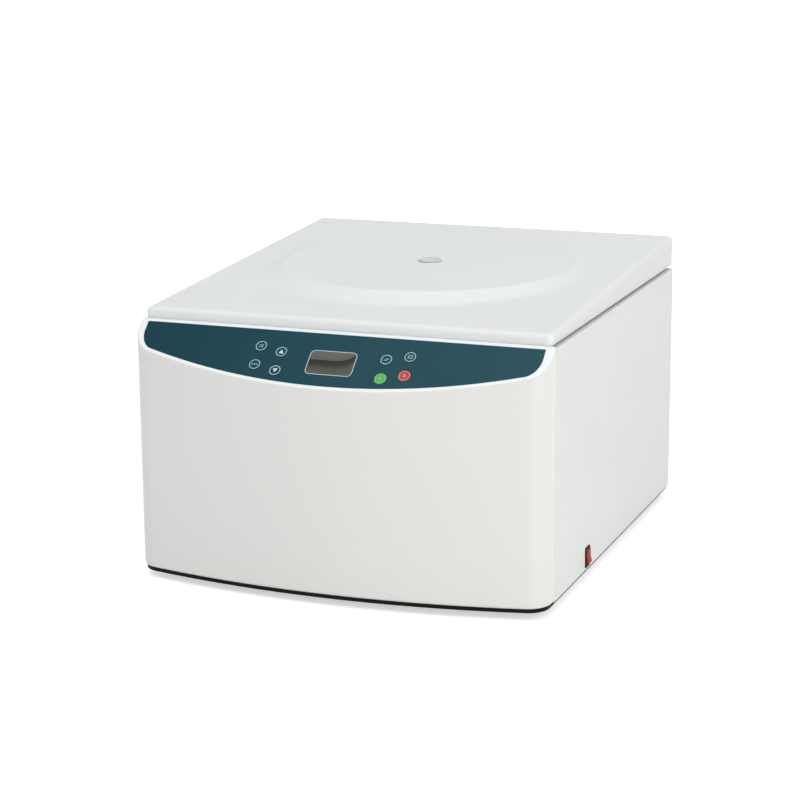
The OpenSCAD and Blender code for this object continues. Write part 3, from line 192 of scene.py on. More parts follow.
class Tree:
    """A node tree, with short calls for the nodes used here."""

    def __init__(self, tree):
        self.tree = tree
        tree.nodes.clear()

    def add(self, kind, **values):
        node = self.tree.nodes.new(kind)
        for key, value in values.items():
            setattr(node, key, value)
        return node

    def join(self, source, target):
        self.tree.links.new(source, target)

    def calc(self, operation, *values, kind="ShaderNodeMath"):
        """The outputs of a math node on other outputs and plain values."""
        node = self.add(kind, operation=operation)
        for value, target in zip(values, node.inputs):
            if isinstance(value, bpy.types.NodeSocket):
                self.join(value, target)
            else:
                target.default_value = value
        return node.outputs

    def part(self, vector, axis):
        """One axis of a vector."""
        node = self.add("ShaderNodeSeparateXYZ")
        self.join(vector, node.inputs[0])
        return node.outputs[axis]

    def span(self, source, low, high, source_low=NOISE_LOW, source_high=NOISE_HIGH):
        """A value that goes from low to high as its source crosses its own span."""
        node = self.add("ShaderNodeMapRange")
        node.inputs["From Min"].default_value = source_low
        node.inputs["From Max"].default_value = source_high
        node.inputs["To Min"].default_value = low
        node.inputs["To Max"].default_value = high
        self.join(source, node.inputs["Value"])
        return node.outputs[0]

    def ramp(self, source, stops):
        """A colour that goes through the stops as its source rises."""
        node = self.add("ShaderNodeValToRGB")
        ramp = node.color_ramp
        while len(ramp.elements) < len(stops):
            ramp.elements.new(0.5)
        for element, (at, color) in zip(ramp.elements, stops):
            element.position = at
            element.color = (*color, 1.0)
        self.join(source, node.inputs[0])
        return node.outputs[0]

    def tinted(self, noise, color, low, high):
        """A colour that goes from low to high times itself with the noise."""
        return self.ramp(noise, [(NOISE_LOW, shade(color, low)), (NOISE_HIGH, shade(color, high))])


class Surface(Tree):
    """The nodes of a new material about one Principled shader."""

    def __init__(self, name):
        self.material = bpy.data.materials.new(name)
        self.material.use_nodes = True
        super().__init__(self.material.node_tree)
        self.shader = self.add("ShaderNodeBsdfPrincipled")
        output = self.add("ShaderNodeOutputMaterial")
        self.join(self.shader.outputs[0], output.inputs[0])
        self.place = self.add("ShaderNodeTexCoord").outputs["Object"]

    def mapped(self, scale=(1, 1, 1), move=(0, 0, 0)):
        """The place on the piece, moved and stretched."""
        node = self.add("ShaderNodeMapping")
        node.inputs["Location"].default_value = move
        node.inputs["Scale"].default_value = scale
        self.join(self.place, node.inputs["Vector"])
        return node.outputs[0]

    def noise(self, scale, detail=3.0, rough=0.5, where=None):
        node = self.add("ShaderNodeTexNoise")
        node.inputs["Scale"].default_value = scale
        node.inputs["Detail"].default_value = detail
        node.inputs["Roughness"].default_value = rough
        self.join(where or self.place, node.inputs["Vector"])
        return node.outputs["Fac"]

    def mixed(self, first, second, mask):
        """The first colour where the mask is 0 and the second where it is 1."""
        node = self.add("ShaderNodeMix", data_type="RGBA")
        colors = [socket for socket in node.inputs if socket.type == "RGBA"]
        self.join(mask, node.inputs[0])
        self.join(first, colors[0])
        self.join(second, colors[1])
        return [socket for socket in node.outputs if socket.type == "RGBA"][0]

    def drive(self, **sources):
        """Joins outputs to the shader's sockets."""
        for key, source in sources.items():
            self.join(source, self.shader.inputs[key.replace("_", " ")])

    def set(self, **values):
        """Sets constant values on the shader's own sockets."""
        for key, value in values.items():
            self.shader.inputs[key.replace("_", " ")].default_value = value

    def bump(self, source, height_mm):
        """Relief of that height on the whole surface."""
        node = self.add("ShaderNodeBump")
        node.inputs["Strength"].default_value = 1.0
        node.inputs["Distance"].default_value = height_mm * MM
        self.join(source, node.inputs["Height"])
        self.drive(Normal=node.outputs[0])


# Materials


# The spans of a normal's axis, or of a place on the film, between a finish's own colour and its
# paler second one, which is painted light
FACET_LEAN = (0.45, 0.72)
FRONT_LEAN = (-0.32, -0.06)
FILM_ENDS = (-0.2, 0.2)


def facet_highlight_mask(nodes):
    """1 on the facet, 0 on the upright wall under it: the mask of the facet's painted highlight."""
    normal = nodes.add("ShaderNodeTexCoord").outputs["Normal"]
    return nodes.span(nodes.part(normal, "Z"), 0.0, 1.0, *FACET_LEAN)


def lid_front_highlight_mask(nodes):
    """1 on the lid's front and on the front flank of its plateau, 0 on its flat top: the mask of
    their painted highlight.
    """
    normal = nodes.add("ShaderNodeTexCoord").outputs["Normal"]
    return nodes.span(nodes.part(normal, "Y"), 1.0, 0.0, *FRONT_LEAN)


def film_sheen_mask(nodes):
    """0 at the film's left end, 1 at its right end: the mask of the film's painted sheen."""
    return nodes.span(nodes.part(nodes.place, "X"), 0.0, 1.0, *FILM_ENDS)


# What several finishes share. The colour varies by tint and the roughness by spread. Cloud and
# grain are noise scales per metre, gloss patches are finer than clouds, and the grain stands up
# by grain_mm.
PATCHES_PER_CLOUD = 5
MOULDED = dict(rough=0.36, tint=0.012, spread=0.05, cloud=5.0, grain=1100.0, grain_mm=0.010)
KEY_CAP = dict(rough=0.36, tint=0.05, spread=0.05, cloud=60.0, grain=2600.0, grain_mm=0.010,
               Specular_IOR_Level=0.3)
INK = dict(rough=0.5, tint=0.05, spread=0.05, cloud=200.0, grain=2000.0, grain_mm=0.005)
MOULDING_WHITE = (0.775, 0.783, 0.762)

# Each finish by its slot's name. The last six stand only on pieces made here.
FINISHES = {
    "white_steel": dict(
        color=(0.75, 0.768, 0.758), rough=0.42, tint=0.012, spread=0.05, cloud=6.0,
        grain=1400.0, grain_mm=0.012, Specular_IOR_Level=0.08,
    ),
    "white_moulding": dict(MOULDED, color=MOULDING_WHITE),
    "black_moulding": dict(
        color=(0.006, 0.006, 0.006), rough=0.6, tint=0.15, spread=0.08, cloud=14.0,
        grain=1300.0, grain_mm=0.03, Specular_IOR_Level=0.10,
    ),
    "rubber": dict(
        color=(0.018, 0.018, 0.018), rough=0.72, tint=0.2, spread=0.08, cloud=20.0,
        grain=900.0, grain_mm=0.04,
    ),
    # The film is painted paler towards its right end: a painted sheen of the light from the right.
    "teal_film": dict(
        color=(0.0055, 0.0455, 0.066), rough=0.42, tint=0.05, spread=0.05, cloud=7.0,
        grain=2600.0, grain_mm=0.012, other=(0.024, 0.079, 0.104), mask=film_sheen_mask,
        Specular_IOR_Level=0.08,
    ),
    "green_key": dict(KEY_CAP, color=(0.10, 0.42, 0.085)),
    "red_key": dict(KEY_CAP, color=(0.48, 0.060, 0.038)),
    "display": dict(
        color=(0.05, 0.06, 0.055), rough=0.3, tint=0.1, spread=0.06, cloud=80.0,
        grain=2500.0, grain_mm=0.01,
    ),
    "circuit": dict(
        color=(0.03, 0.16, 0.06), rough=0.45, tint=0.2, spread=0.08, cloud=160.0,
        grain=500.0, grain_mm=0.03,
    ),
    "zinc_steel": dict(
        color=(0.60, 0.61, 0.62), rough=0.40, tint=0.03, spread=0.02, cloud=22.0,
        grain=700.0, grain_mm=0.01, metal=1.0, stretch=(1, 8, 1),
    ),
    "anodised": dict(
        color=(0.52, 0.53, 0.55), rough=0.38, tint=0.06, spread=0.07, cloud=24.0,
        grain=1200.0, grain_mm=0.012, metal=0.9,
    ),
    "liner": dict(
        color=(0.60, 0.62, 0.62), rough=0.48, tint=0.03, spread=0.06, cloud=10.0,
        grain=900.0, grain_mm=0.03,
    ),
    "motor_grey": dict(
        color=(0.16, 0.17, 0.18), rough=0.42, tint=0.08, spread=0.08, cloud=16.0,
        grain=800.0, grain_mm=0.04,
    ),
    "frame_grey": dict(
        color=(0.27, 0.28, 0.29), rough=0.5, tint=0.08, spread=0.08, cloud=14.0,
        grain=900.0, grain_mm=0.03,
    ),
    "coil": dict(
        color=(0.10, 0.11, 0.12), rough=0.45, tint=0.12, spread=0.08, cloud=60.0,
        grain=700.0, grain_mm=0.03,
    ),
    "red_rocker": dict(
        color=(0.30, 0.022, 0.016), rough=0.45, tint=0.08, spread=0.05, cloud=80.0,
        grain=1200.0, grain_mm=0.02, Specular_IOR_Level=0.10,
    ),
    # The lid's front and the plateau's front flank are painted paler: a painted highlight on the
    # faces turned to the light.
    "lid_moulding": dict(
        MOULDED, color=(0.78, 0.795, 0.80), rough=0.46, other=(0.832, 0.848, 0.851),
        mask=lid_front_highlight_mask, Specular_IOR_Level=0.03,
    ),
    # The facet is painted paler than the wall under it: a painted highlight where it faces the
    # light.
    "fascia_moulding": dict(
        MOULDED, color=MOULDING_WHITE, other=(0.90, 0.93, 0.955), mask=facet_highlight_mask,
        Specular_IOR_Level=0.25,
    ),
    "print": dict(INK, color=(0.36, 0.55, 0.59)),
    "pale_print": dict(INK, color=(0.56, 0.72, 0.74)),
    "green_print": dict(INK, color=(0.22, 0.56, 0.30)),
    "red_print": dict(INK, color=(0.62, 0.30, 0.26)),
}
ROTOR_CENTRE = (0.0, 45.5)


def finish_of(name, color, rough, tint, spread, cloud, grain, grain_mm, metal=0.0,
              stretch=(1, 1, 1), other=None, mask=None, **values):
    """A surface with clouded colour, patchy gloss and a fine relief, and maybe a paler second
    colour laid on by a mask as painted light.
    """
    nodes = Surface(name)
    clouds = nodes.noise(cloud, 4.0)
    tone = nodes.tinted(clouds, color, 1 - tint, 1 + tint)
    # The second colour is painted light: paler where the mask is 1.
    if other:
        second = nodes.tinted(clouds, other, 1 - tint, 1 + tint)
        tone = nodes.mixed(tone, second, mask(nodes))
    patches = nodes.noise(cloud * PATCHES_PER_CLOUD, 5.0, 0.6)
    nodes.drive(Base_Color=tone, Roughness=nodes.span(patches, rough - spread, rough + spread))
    nodes.bump(nodes.noise(grain, 2.0, 0.5, nodes.mapped(stretch)), grain_mm)
    nodes.set(Metallic=metal, **values)
    return nodes.material


def spun_metal(name, color, rough, centre):
    """Metal polished in rings about an upright axis."""
    pitch = 900.0
    relief_mm = 0.008
    cloud = 12.0
    nodes = Surface(name)
    moved = nodes.mapped(move=(-centre[0] * MM, -centre[1] * MM, 0))
    flat = nodes.calc("MULTIPLY", moved, (1, 1, 0), kind="ShaderNodeVectorMath")[0]
    away = nodes.calc("LENGTH", flat, kind="ShaderNodeVectorMath")["Value"]
    rings = nodes.add("ShaderNodeCombineXYZ")
    nodes.join(away, rings.inputs["X"])
    nodes.join(nodes.part(moved, "Z"), rings.inputs["Z"])
    lines = nodes.noise(pitch, 3.0, 0.6, rings.outputs[0])
    nodes.drive(
        Base_Color=nodes.tinted(nodes.noise(cloud, 4.0), color, 0.94, 1.04),
        Roughness=nodes.span(lines, rough - 0.07, rough + 0.09),
    )
    nodes.bump(lines, relief_mm)
    nodes.set(Metallic=1.0)
    return nodes.material


def wound_look(name, color, pitch):
    """Wire or thin sheets side by side, drawn as ridges, with painted shade in the grooves between
    them.
    """
    ridge_mm = 0.3
    cloud = 60.0
    nodes = Surface(name)
    wave = nodes.add("ShaderNodeTexWave", wave_type="BANDS", bands_direction="DIAGONAL")
    wave.inputs["Scale"].default_value = pitch
    wave.inputs["Distortion"].default_value = 0.6
    nodes.join(nodes.place, wave.inputs["Vector"])
    ridges = wave.outputs["Fac"]
    # The colour is darker in the grooves: painted shade between the turns or sheets.
    nodes.drive(
        Base_Color=nodes.ramp(ridges, [(0.0, shade(color, 0.6)), (0.7, shade(color, 1.1))]),
        Roughness=nodes.span(nodes.noise(cloud), 0.3, 0.45),
    )
    nodes.bump(ridges, ridge_mm)
    return nodes.material


def glaze(nodes, smears, rough, alpha):
    """The smeared gloss, slight clearness and faint waves of a pane; rough and alpha are spans."""
    wave = 120.0
    wave_mm = 0.01
    nodes.drive(Roughness=nodes.span(smears, *rough), Alpha=nodes.span(smears, *alpha))
    nodes.bump(nodes.noise(wave, 1.0), wave_mm)
    nodes.set(IOR=1.5)


def sight_look(name):
    """The yellowish pane in the lid."""
    nodes = Surface(name)
    smears = nodes.noise(40.0, 4.0, 0.6)
    nodes.drive(Base_Color=nodes.tinted(smears, (0.66, 0.70, 0.52), 0.95, 1.05))
    glaze(nodes, smears, (0.06, 0.12), (0.80, 0.86))
    return nodes.material


# The window's tones from its lower edge up, with a painted sheen at the top, and how far that sheen
# comes down at the right end
WINDOW_TONES = [
    (0.0, (0.125, 0.115, 0.112)),
    (0.25, (0.100, 0.100, 0.082)),
    (0.46, (0.040, 0.041, 0.036)),
    (0.62, (0.030, 0.029, 0.026)),
    (0.67, (0.125, 0.122, 0.110)),
    (1.0, (0.140, 0.150, 0.142)),
]
SHEEN_CLIMB = 0.3
SHEEN_CURVE = 3.0


def window_look(name):
    """Smoked glass over the display: a paler painted sheen along the top, a dark band under it."""
    nodes = Surface(name)
    low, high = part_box("display_window")
    height = nodes.span(nodes.part(nodes.place, "Z"), 0.0, 1.0, low.z, high.z)
    across = nodes.span(nodes.part(nodes.place, "X"), 0.0, 1.0, 0.0, high.x)
    # The lower edge of the painted sheen climbs towards the right end
    climb = nodes.calc("POWER", across, SHEEN_CURVE)[0]
    lowered = nodes.calc("MULTIPLY_ADD", climb, -SHEEN_CLIMB, height)[0]
    nodes.drive(Base_Color=nodes.ramp(lowered, WINDOW_TONES))
    glaze(nodes, nodes.noise(60.0, 4.0, 0.6), (0.10, 0.16), (0.90, 0.94))
    nodes.set(Specular_IOR_Level=0.15)
    return nodes.material


def make_materials():
    """The materials by their names: one for each slot of the record, and those made here."""
    out = {name: finish_of(name, **values) for name, values in FINISHES.items()}
    out["stainless"] = spun_metal("stainless", (0.66, 0.66, 0.65), 0.30, ROTOR_CENTRE)
    out["winding"] = wound_look("winding", (0.42, 0.16, 0.05), 420.0)
    out["laminations"] = wound_look("laminations", (0.30, 0.31, 0.32), 700.0)
    out["sight_pane"] = sight_look("sight_pane")
    out["window"] = window_look("window")
    return out


# Mesh building


def seam_point(x, y, z):
    """A point of the frame whose Y starts at the seam behind the fascia, in metres."""
    return Vector((x, y + SEAM_Y, z)) * MM


def mesh_of(name, bm):
    """A mesh from a bmesh, which is freed."""
    mesh = bpy.data.meshes.new(name)
    bm.normal_update()
    bm.to_mesh(mesh)
    bm.free()
    return mesh


def smooth_faces(mesh):
    for face in mesh.polygons:
        face.use_smooth = True


def add_piece(name, bm, material, body):
    """A new piece from a filled bmesh, on its body, with its finish."""
    mesh = mesh_of(name, bm)
    smooth_faces(mesh)
    mesh.materials.append(material)
    piece = put(name, mesh)
    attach(piece, body)
    return piece


def arc(centre, radius, start, end, steps):
    """Points and outward normals of an arc in the plane."""
    out = []
    for i in range(steps + 1):
        a = start + (end - start) * i / steps
        normal = (math.cos(a), math.sin(a))
        out.append(((centre[0] + radius * normal[0], centre[1] + radius * normal[1]), normal))
    return out


def round_over(z0, slope, radius, steps):
    """Points (inward, height) from an upright wall round to a plane that it meets at z0."""
    turn = QUARTER - math.atan(slope)
    reach = radius * math.tan(turn / 2)
    out = []
    for i in range(steps + 1):
        b = turn * i / steps
        out.append((radius * (1 - math.cos(b)), z0 - reach + radius * math.sin(b)))
    return out


def sweep(bm, stations, profile_of, closed):
    """Joins the profiles of all stations into strips and returns each profile's last vertex."""
    rows = []
    for point, normal in stations:
        rows.append([
            bm.verts.new(seam_point(point[0] - normal[0] * t, point[1] - normal[1] * t, z))
            for t, z in profile_of(point, normal)
        ])
    pairs = list(zip(rows, rows[1:]))
    if closed:
        pairs.append((rows[-1], rows[0]))
    for a, b in pairs:
        for i in range(len(a) - 1):
            bm.faces.new((a[i], b[i], b[i + 1], a[i + 1]))
    return [row[-1] for row in rows]


def thicken(piece):
    """Gives an outer skin its wall, inwards."""
    modifier = piece.modifiers.new("wall", "SOLIDIFY")
    modifier.thickness = SHELL * MM
    modifier.offset = -1.0
    modifier.use_even_offset = True


def even_shading(piece, keep_sharp=True):
    """Keeps broad flat faces flat where they meet small rounded ones."""
    modifier = piece.modifiers.new("shading", "WEIGHTED_NORMAL")
    modifier.mode = "FACE_AREA"
    modifier.keep_sharp = keep_sharp


def cut_from(piece, bm):
    """Takes the solid in a bmesh away from a piece, whose modifiers so far are baked."""
    bmesh.ops.recalc_face_normals(bm, faces=bm.faces)
    cutter = put("cutter", mesh_of("cutter", bm))
    modifier = piece.modifiers.new("cut", "BOOLEAN")
    modifier.operation = "DIFFERENCE"
    modifier.solver = "EXACT"
    modifier.object = cutter
    graph = bpy.context.evaluated_depsgraph_get()
    baked = bpy.data.meshes.new_from_object(piece.evaluated_get(graph))
    smooth_faces(baked)
    piece.modifiers.clear()
    piece.data = baked
    bpy.data.objects.remove(cutter)


# Outlines on the facet, and what stands on them


def circle(x, y, r, count=48):
    """The points of a circle, once round."""
    return [(x + r * math.cos(2 * math.pi * i / count), y + r * math.sin(2 * math.pi * i / count))
            for i in range(count)]


def round_box(x, y, width, height, r, steps=8):
    """The points of a rectangle with round corners, once round."""
    out = []
    for side_x, side_y, start in ((1, -1, -1), (1, 1, 0), (-1, 1, 1), (-1, -1, 2)):
        centre = (x + side_x * (width / 2 - r), y + side_y * (height / 2 - r))
        out += [p for p, _ in arc(centre, r, start * QUARTER, (start + 1) * QUARTER, steps)]
    return out


def bar(x, y, width, height):
    """The corners of a rectangle."""
    return [(x - width / 2, y - height / 2), (x + width / 2, y - height / 2),
            (x + width / 2, y + height / 2), (x - width / 2, y + height / 2)]


def triangle(x, y, size, degrees):
    """The corners of an even triangle that points that way."""
    angles = [math.radians(degrees + corner) for corner in (0, 120, 240)]
    return [(x + size * math.cos(a), y + size * math.sin(a)) for a in angles]


def facet_loop(bm, outline, height):
    """The vertices of an outline at a height over the facet."""
    return [bm.verts.new(FACET @ (Vector((x, y, height)) * MM)) for x, y in outline]


def facet_band(bm, low, high):
    """The faces between two loops of equal count."""
    for i in range(len(low)):
        j = (i + 1) % len(low)
        bm.faces.new((low[i], low[j], high[j], high[i]))


def facet_prism(outlines, low, high):
    """Solids on the facet, each from an outline, in one bmesh."""
    bm = bmesh.new()
    for outline in outlines:
        bottom = facet_loop(bm, outline, low)
        top = facet_loop(bm, outline, high)
        bm.faces.new(top)
        bm.faces.new(list(reversed(bottom)))
        facet_band(bm, bottom, top)
    return bm


def facet_ring(outer, inner, low, high):
    """A closed solid band on the facet between two outlines of equal count."""
    bm = bmesh.new()
    loops = [facet_loop(bm, outline, height)
             for outline, height in ((outer, low), (outer, high), (inner, high), (inner, low))]
    for a, b in zip(loops, loops[1:] + loops[:1]):
        facet_band(bm, a, b)
    bmesh.ops.recalc_face_normals(bm, faces=bm.faces)
    return bm


# Plain generic signs for the keys, about each key's middle
SIGNS = {
    "key_mode": [bar(0, 1.0, 4.4, STROKE), bar(0, -1.0, 4.4, STROKE)],
    "key_set": [circle(step, 0, 0.85, DOT_SIDES) for step in (-2.5, 0.0, 2.5)],
    "key_up": [triangle(0, -0.6, 3.2, 90)],
    "key_down": [triangle(0, 0.6, 3.2, -90)],
    "key_memory": [
        bar(0, 1.5, 4.6, STROKE),
        bar(0, -1.5, 4.6, STROKE),
        bar(1.9, 0, STROKE, 2.2),
        bar(-1.9, 0, STROKE, 2.2),
    ],
    "key_pulse": [
        bar(-1.6, -0.8, 2.4, STROKE),
        bar(0, 0, STROKE, 2.4),
        bar(1.6, 0.8, 2.4, STROKE),
    ],
    "key_start": [triangle(-0.4, 0, 2.2, 0)],
    "key_stop": [bar(0, 0, 3.0, 3.0)],
}
# The materials of rings and signs, where they aren't plain print
RING_PRINTS = {"key_start": "green_print", "key_stop": "red_print"}
SIGN_PRINTS = {"key_up": "pale_print", "key_down": "pale_print", **RING_PRINTS}


def key_place(name):
    """Where a key stands on the facet: across it, and up its slope."""
    low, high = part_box(name)
    middle = FACET.inverted() @ ((low + high) / 2)
    return middle.x / MM, middle.y / MM


def build_prints(materials):
    """The rings and signs on the keys and the line round the window, as thin ink."""
    face = FILM + KEY_RISE
    for name, outlines in SIGNS.items():
        x, y = key_place(name)
        outer, inner = [circle(x, y, KEY_R - inset) for inset in RING_INSETS]
        ring = facet_ring(outer, inner, face - INK_DOWN, face + INK_UP)
        add_piece(name + "_ring", ring, materials[RING_PRINTS.get(name, "print")], name)
        moved = [[(x + a, y + b) for a, b in outline] for outline in outlines]
        sign = facet_prism(moved, face - INK_DOWN, face + INK_UP)
        add_piece(name + "_mark", sign, materials[SIGN_PRINTS.get(name, "print")], name)
    outer = round_box(0, WINDOW_MIDDLE, WINDOW[0] + 2 * WINDOW_LINE, WINDOW[1] + 2 * WINDOW_LINE,
                      WINDOW_R + WINDOW_LINE)
    inner = round_box(0, WINDOW_MIDDLE, *WINDOW, WINDOW_R)
    add_piece("window_line", facet_ring(outer, inner, FILM - INK_DOWN, FILM + INK_UP),
              materials["pale_print"], "housing")


# The front moulding


def fascia_stations():
    """The plan of the fascia from its left seam round to its right seam."""
    corner_x = HALF_W - CORNER_R
    lean = math.atan2(corner_x, BOW_Y - CORNER_Y)
    cheek = [((HALF_W, y), (1.0, 0.0)) for y in (CORNER_Y / 2, -4 * SEAM_GAP, -SEAM_GAP)]
    right = arc((corner_x, CORNER_Y), CORNER_R, lean - QUARTER, 0.0, CORNER_STEPS) + cheek
    left = [((-p[0], p[1]), (-n[0], n[1])) for p, n in reversed(right)]
    bow = arc((0.0, BOW_Y), BOW_R, -lean - QUARTER, lean - QUARTER, BOW_STEPS)
    return left + bow[1:-1] + right


def fascia_profile(point, normal):
    """Section of the fascia at one place of its plan: flange, round lower edge, wall, facet."""
    slope = -normal[1] * math.tan(FACET_A)
    z0 = FACET_Z + point[1] * math.tan(FACET_A)
    section = [(FLANGE_W + SHELL, BODY_Z)]
    for i in range(ROUND_STEPS + 1):
        b = QUARTER * (1 - i / ROUND_STEPS)
        section.append((EDGE_R * (1 - math.cos(b)), BODY_Z + EDGE_R * (1 - math.sin(b))))
    return section + round_over(z0, slope, FACET_ROUND, ROUND_STEPS)


def build_fascia(materials):
    """The bowed front moulding with its inclined facet, its key pockets and its window seat."""
    bm = bmesh.new()
    inner = sweep(bm, fascia_stations(), fascia_profile, False)
    # The facet is one face, with a narrow strip of its own along the seam
    bm.faces.new(list(reversed(inner[1:-1])))
    bm.faces.new((inner[0], inner[1], inner[-2], inner[-1]))
    bmesh.ops.recalc_face_normals(bm, faces=bm.faces)
    piece = add_piece("fascia_skin", bm, materials["fascia_moulding"], "housing")
    thicken(piece)
    for name in SIGNS:
        pocket = circle(*key_place(name), KEY_R + KEY_PLAY, POCKET_SIDES)
        cut_from(piece, facet_prism([pocket], -KEY_SEAT, CUT_HIGH))
    seat = round_box(0, WINDOW_MIDDLE, *WINDOW, WINDOW_R)
    hole = round_box(0, WINDOW_MIDDLE, *[size - 2 * PANE_LEDGE for size in WINDOW], PANE_HOLE_R)
    cut_from(piece, facet_prism([seat], -PANE_DEPTH, CUT_HIGH))
    cut_from(piece, facet_prism([hole], CUT_THROUGH, CUT_HIGH))
    even_shading(piece)
    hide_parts("front_fascia")


# The lid


def lid_stations():
    """The lid's plan, once round."""
    x = LID_HALF - LID_CORNER_R
    y_low = LID_CORNER_R
    y_high = LID_L - LID_CORNER_R
    out = []
    corners = [
        ((x, y_low), -QUARTER),
        ((x, y_high), 0.0),
        ((-x, y_high), QUARTER),
        ((-x, y_low), math.pi),
    ]
    for (centre, start), (following, _) in zip(corners, corners[1:] + corners[:1]):
        bend = arc(centre, LID_CORNER_R, start, start + QUARTER, LID_CORNER_STEPS)
        out += bend
        normal = bend[-1][1]
        for i in range(1, LID_SIDE_STEPS):
            f = i / LID_SIDE_STEPS
            middle = (centre[0] + (following[0] - centre[0]) * f,
                      centre[1] + (following[1] - centre[1]) * f)
            out.append(((middle[0] + LID_CORNER_R * normal[0],
                         middle[1] + LID_CORNER_R * normal[1]), normal))
    return out


def lid_top(y):
    """Height of the wedge's upper face."""
    return LID_FRONT_Z + y * math.tan(LID_SLOPE)


def smooth_high(a, b, width):
    """The higher of two heights, with a soft hollow of that width where they cross."""
    d = max(width - abs(a - b), 0.0) / width
    return max(a, b) + d * d * width / 4


def smooth_low(a, b, width):
    """The lower of two heights, with a soft crest of that width where they cross."""
    return -smooth_high(-a, -b, width)


def lid_height(x, y):
    """Height of the lid's upper face: the wedge, and the plateau with its sloping flank."""
    r = math.hypot(x, y - CHAMBER_Y)
    front = lid_top(CHAMBER_Y - DOME_R) + DOME_FRONT_H
    rear = lid_top(CHAMBER_Y + DOME_R) + DOME_REAR_H
    table = (front + rear) / 2 + (y - CHAMBER_Y) * (rear - front) / (2 * DOME_R)
    flank = table - (r - DOME_R) * DOME_FRONT_H / DOME_FLANK
    return smooth_high(smooth_low(table, flank, RIM_BLEND), lid_top(y), FOOT_BLEND)


def lid_profile(point, normal):
    """Section of the lid at one place of its plan; the front leans back and hangs lower."""
    slope = -normal[1] * math.tan(LID_SLOPE)
    front = max(0.0, -normal[1])
    low = LID_Z - LID_APRON * front
    section = [(0.0, low)] + round_over(lid_top(point[1]), slope, LID_EDGE_R, LID_ROUND_STEPS)
    return [(t + LID_LEAN * front * (z - low), z) for t, z in section]


def build_lid(materials):
    """The lid's cover: a wedge with round edges and a low plateau over the chamber."""
    bm = bmesh.new()
    edge = sweep(bm, lid_stations(), lid_profile, True)
    centre = seam_point(0.0, CHAMBER_Y, 0.0)
    turns = [math.atan2(vert.co.y - centre.y, vert.co.x - centre.x) for vert in edge]
    previous = edge
    for r in reversed(TABLE_RADII + RIM_RADII + FLANK_RADII):
        ring = []
        for a in turns:
            x = r * math.cos(a)
            y = CHAMBER_Y + r * math.sin(a)
            ring.append(bm.verts.new(seam_point(x, y, lid_height(x, y))))
        for i, vert in enumerate(ring):
            j = (i + 1) % len(ring)
            bm.faces.new((previous[i], previous[j], ring[j], vert))
        previous = ring
    bmesh.ops.recalc_face_normals(bm, faces=bm.faces)
    piece = add_piece("lid_skin", bm, materials["lid_moulding"], "lid")
    thicken(piece)
    even_shading(piece)
    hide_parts("lid_cover")


# The CAD nodes that keep their own shape


def dress_nodes(materials):
    """Gives every CAD node the finish of its slot."""
    for entry in frame["record"]["subparts"]:
        piece = frame["nodes"][entry["node"]]
        piece.data.materials.clear()
        piece.data.materials.append(materials[entry["material_slot"]])


def soften_edges():
    """A small round edge on the sheet parts, where the light catches them."""
    for name in SHEET_PARTS:
        piece = frame["nodes"][name]
        weld = piece.modifiers.new("weld", "WELD")
        weld.merge_threshold = WELD_GAP * MM
        flats = piece.modifiers.new("flats", "DECIMATE")
        flats.decimate_type = "DISSOLVE"
        flats.angle_limit = FLAT_WITHIN
        bevel = piece.modifiers.new("edge", "BEVEL")
        bevel.width = SHEET_BEVEL * MM
        bevel.segments = 2
        bevel.limit_method = "ANGLE"
        bevel.angle_limit = SHARP_ABOVE
        even_shading(piece, keep_sharp=False)


# Room and light, in metres and watts


FLOOR_HALF = 14.0
FLOOR_TONES = [(NOISE_LOW, (0.86, 0.86, 0.86)), (NOISE_HIGH, (0.9, 0.9, 0.9))]
# How white the floor shows, from low beside the object to high away from it
FLOOR_GLOW = dict(low=0.56, high=0.95, source_low=0.5, source_high=2.5)
SKY_COLOR = (0.97, 0.985, 1.0)
SKY_STRENGTH = 0.58
LAMP_AIM = Vector((0.0, 0.0, 0.15))
LAMPS = {
    "lamp_right": dict(place=(2.4, -1.6, 1.3), size=(2.0, 2.0), power=32.4,
                       color=(1.0, 0.965, 0.915)),
    "lamp_left": dict(place=(-2.6, -1.6, 1.6), size=(1.6, 2.0), power=3.0,
                      color=(1.0, 0.96, 0.90)),
    "lamp_high": dict(place=(-0.2, -1.9, 2.5), size=(1.8, 0.8), power=12.0,
                      color=(1.0, 0.985, 0.97)),
    "lamp_top": dict(place=(0.2, 0.8, 2.8), size=(2.4, 2.0), power=15.0,
                     color=(0.98, 0.99, 1.0)),
}


def surround_rays(nodes):
    """1 on the rays that show the surround: the camera's, mirrored ones and those through glass."""
    path = nodes.add("ShaderNodeLightPath")
    total = path.outputs["Is Camera Ray"]
    for name in ("Is Glossy Ray", "Is Transmission Ray"):
        total = nodes.calc("MAXIMUM", total, path.outputs[name])[0]
    return total


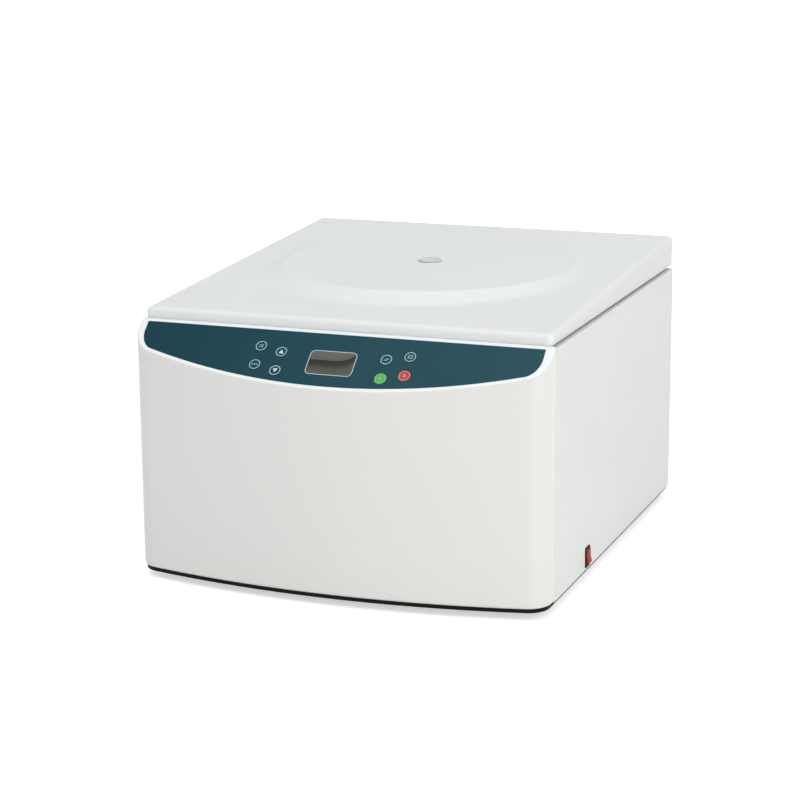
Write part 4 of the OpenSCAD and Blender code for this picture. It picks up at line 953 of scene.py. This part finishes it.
def build_stage():
    """A pale floor that shows as white as the surround, apart from the object's shadow."""
    bm = bmesh.new()
    corners = ((-1, -1), (1, -1), (1, 1), (-1, 1))
    bm.faces.new([bm.verts.new((x * FLOOR_HALF, y * FLOOR_HALF, 0.0)) for x, y in corners])
    floor = put("floor", mesh_of("floor", bm))
    nodes = Surface("floor")
    away = nodes.calc("LENGTH", nodes.place, kind="ShaderNodeVectorMath")["Value"]
    glow = nodes.calc("MULTIPLY", surround_rays(nodes), nodes.span(away, **FLOOR_GLOW))[0]
    nodes.drive(Base_Color=nodes.ramp(nodes.noise(3.0), FLOOR_TONES), Emission_Strength=glow)
    nodes.set(Roughness=0.9, Specular_IOR_Level=0.1, Emission_Color=(1.0, 1.0, 1.0, 1.0))
    floor.data.materials.append(nodes.material)


def build_world():
    """A soft light from all round that shows as plain white."""
    world = bpy.data.worlds.new("surround")
    bpy.context.scene.world = world
    world.use_nodes = True
    nodes = Tree(world.node_tree)
    mix = nodes.add("ShaderNodeMixShader")
    nodes.join(surround_rays(nodes), mix.inputs[0])
    backgrounds = ((SKY_COLOR, SKY_STRENGTH), ((1.0, 1.0, 1.0), 1.0))
    for target, (color, strength) in zip(mix.inputs[1:], backgrounds):
        background = nodes.add("ShaderNodeBackground")
        background.inputs["Color"].default_value = (*color, 1.0)
        background.inputs["Strength"].default_value = strength
        nodes.join(background.outputs[0], target)
    output = nodes.add("ShaderNodeOutputWorld")
    nodes.join(mix.outputs[0], output.inputs[0])


def add_lamp(name, place, size, power, color):
    """A soft rectangular lamp that looks at the object."""
    data = bpy.data.lights.new(name, "AREA")
    data.shape = "RECTANGLE"
    data.size, data.size_y = size
    data.energy = power
    data.color = color
    lamp = put(name, data)
    lamp.location = place
    lamp.rotation_euler = (LAMP_AIM - Vector(place)).to_track_quat("-Z", "Y").to_euler()


bpy.context.scene.view_settings.view_transform = "Standard"
place_camera()
materials = make_materials()
dress_nodes(materials)
soften_edges()
build_fascia(materials)
build_lid(materials)
build_prints(materials)
build_stage()
build_world()
for lamp_name, values in LAMPS.items():
    add_lamp(lamp_name, **values)
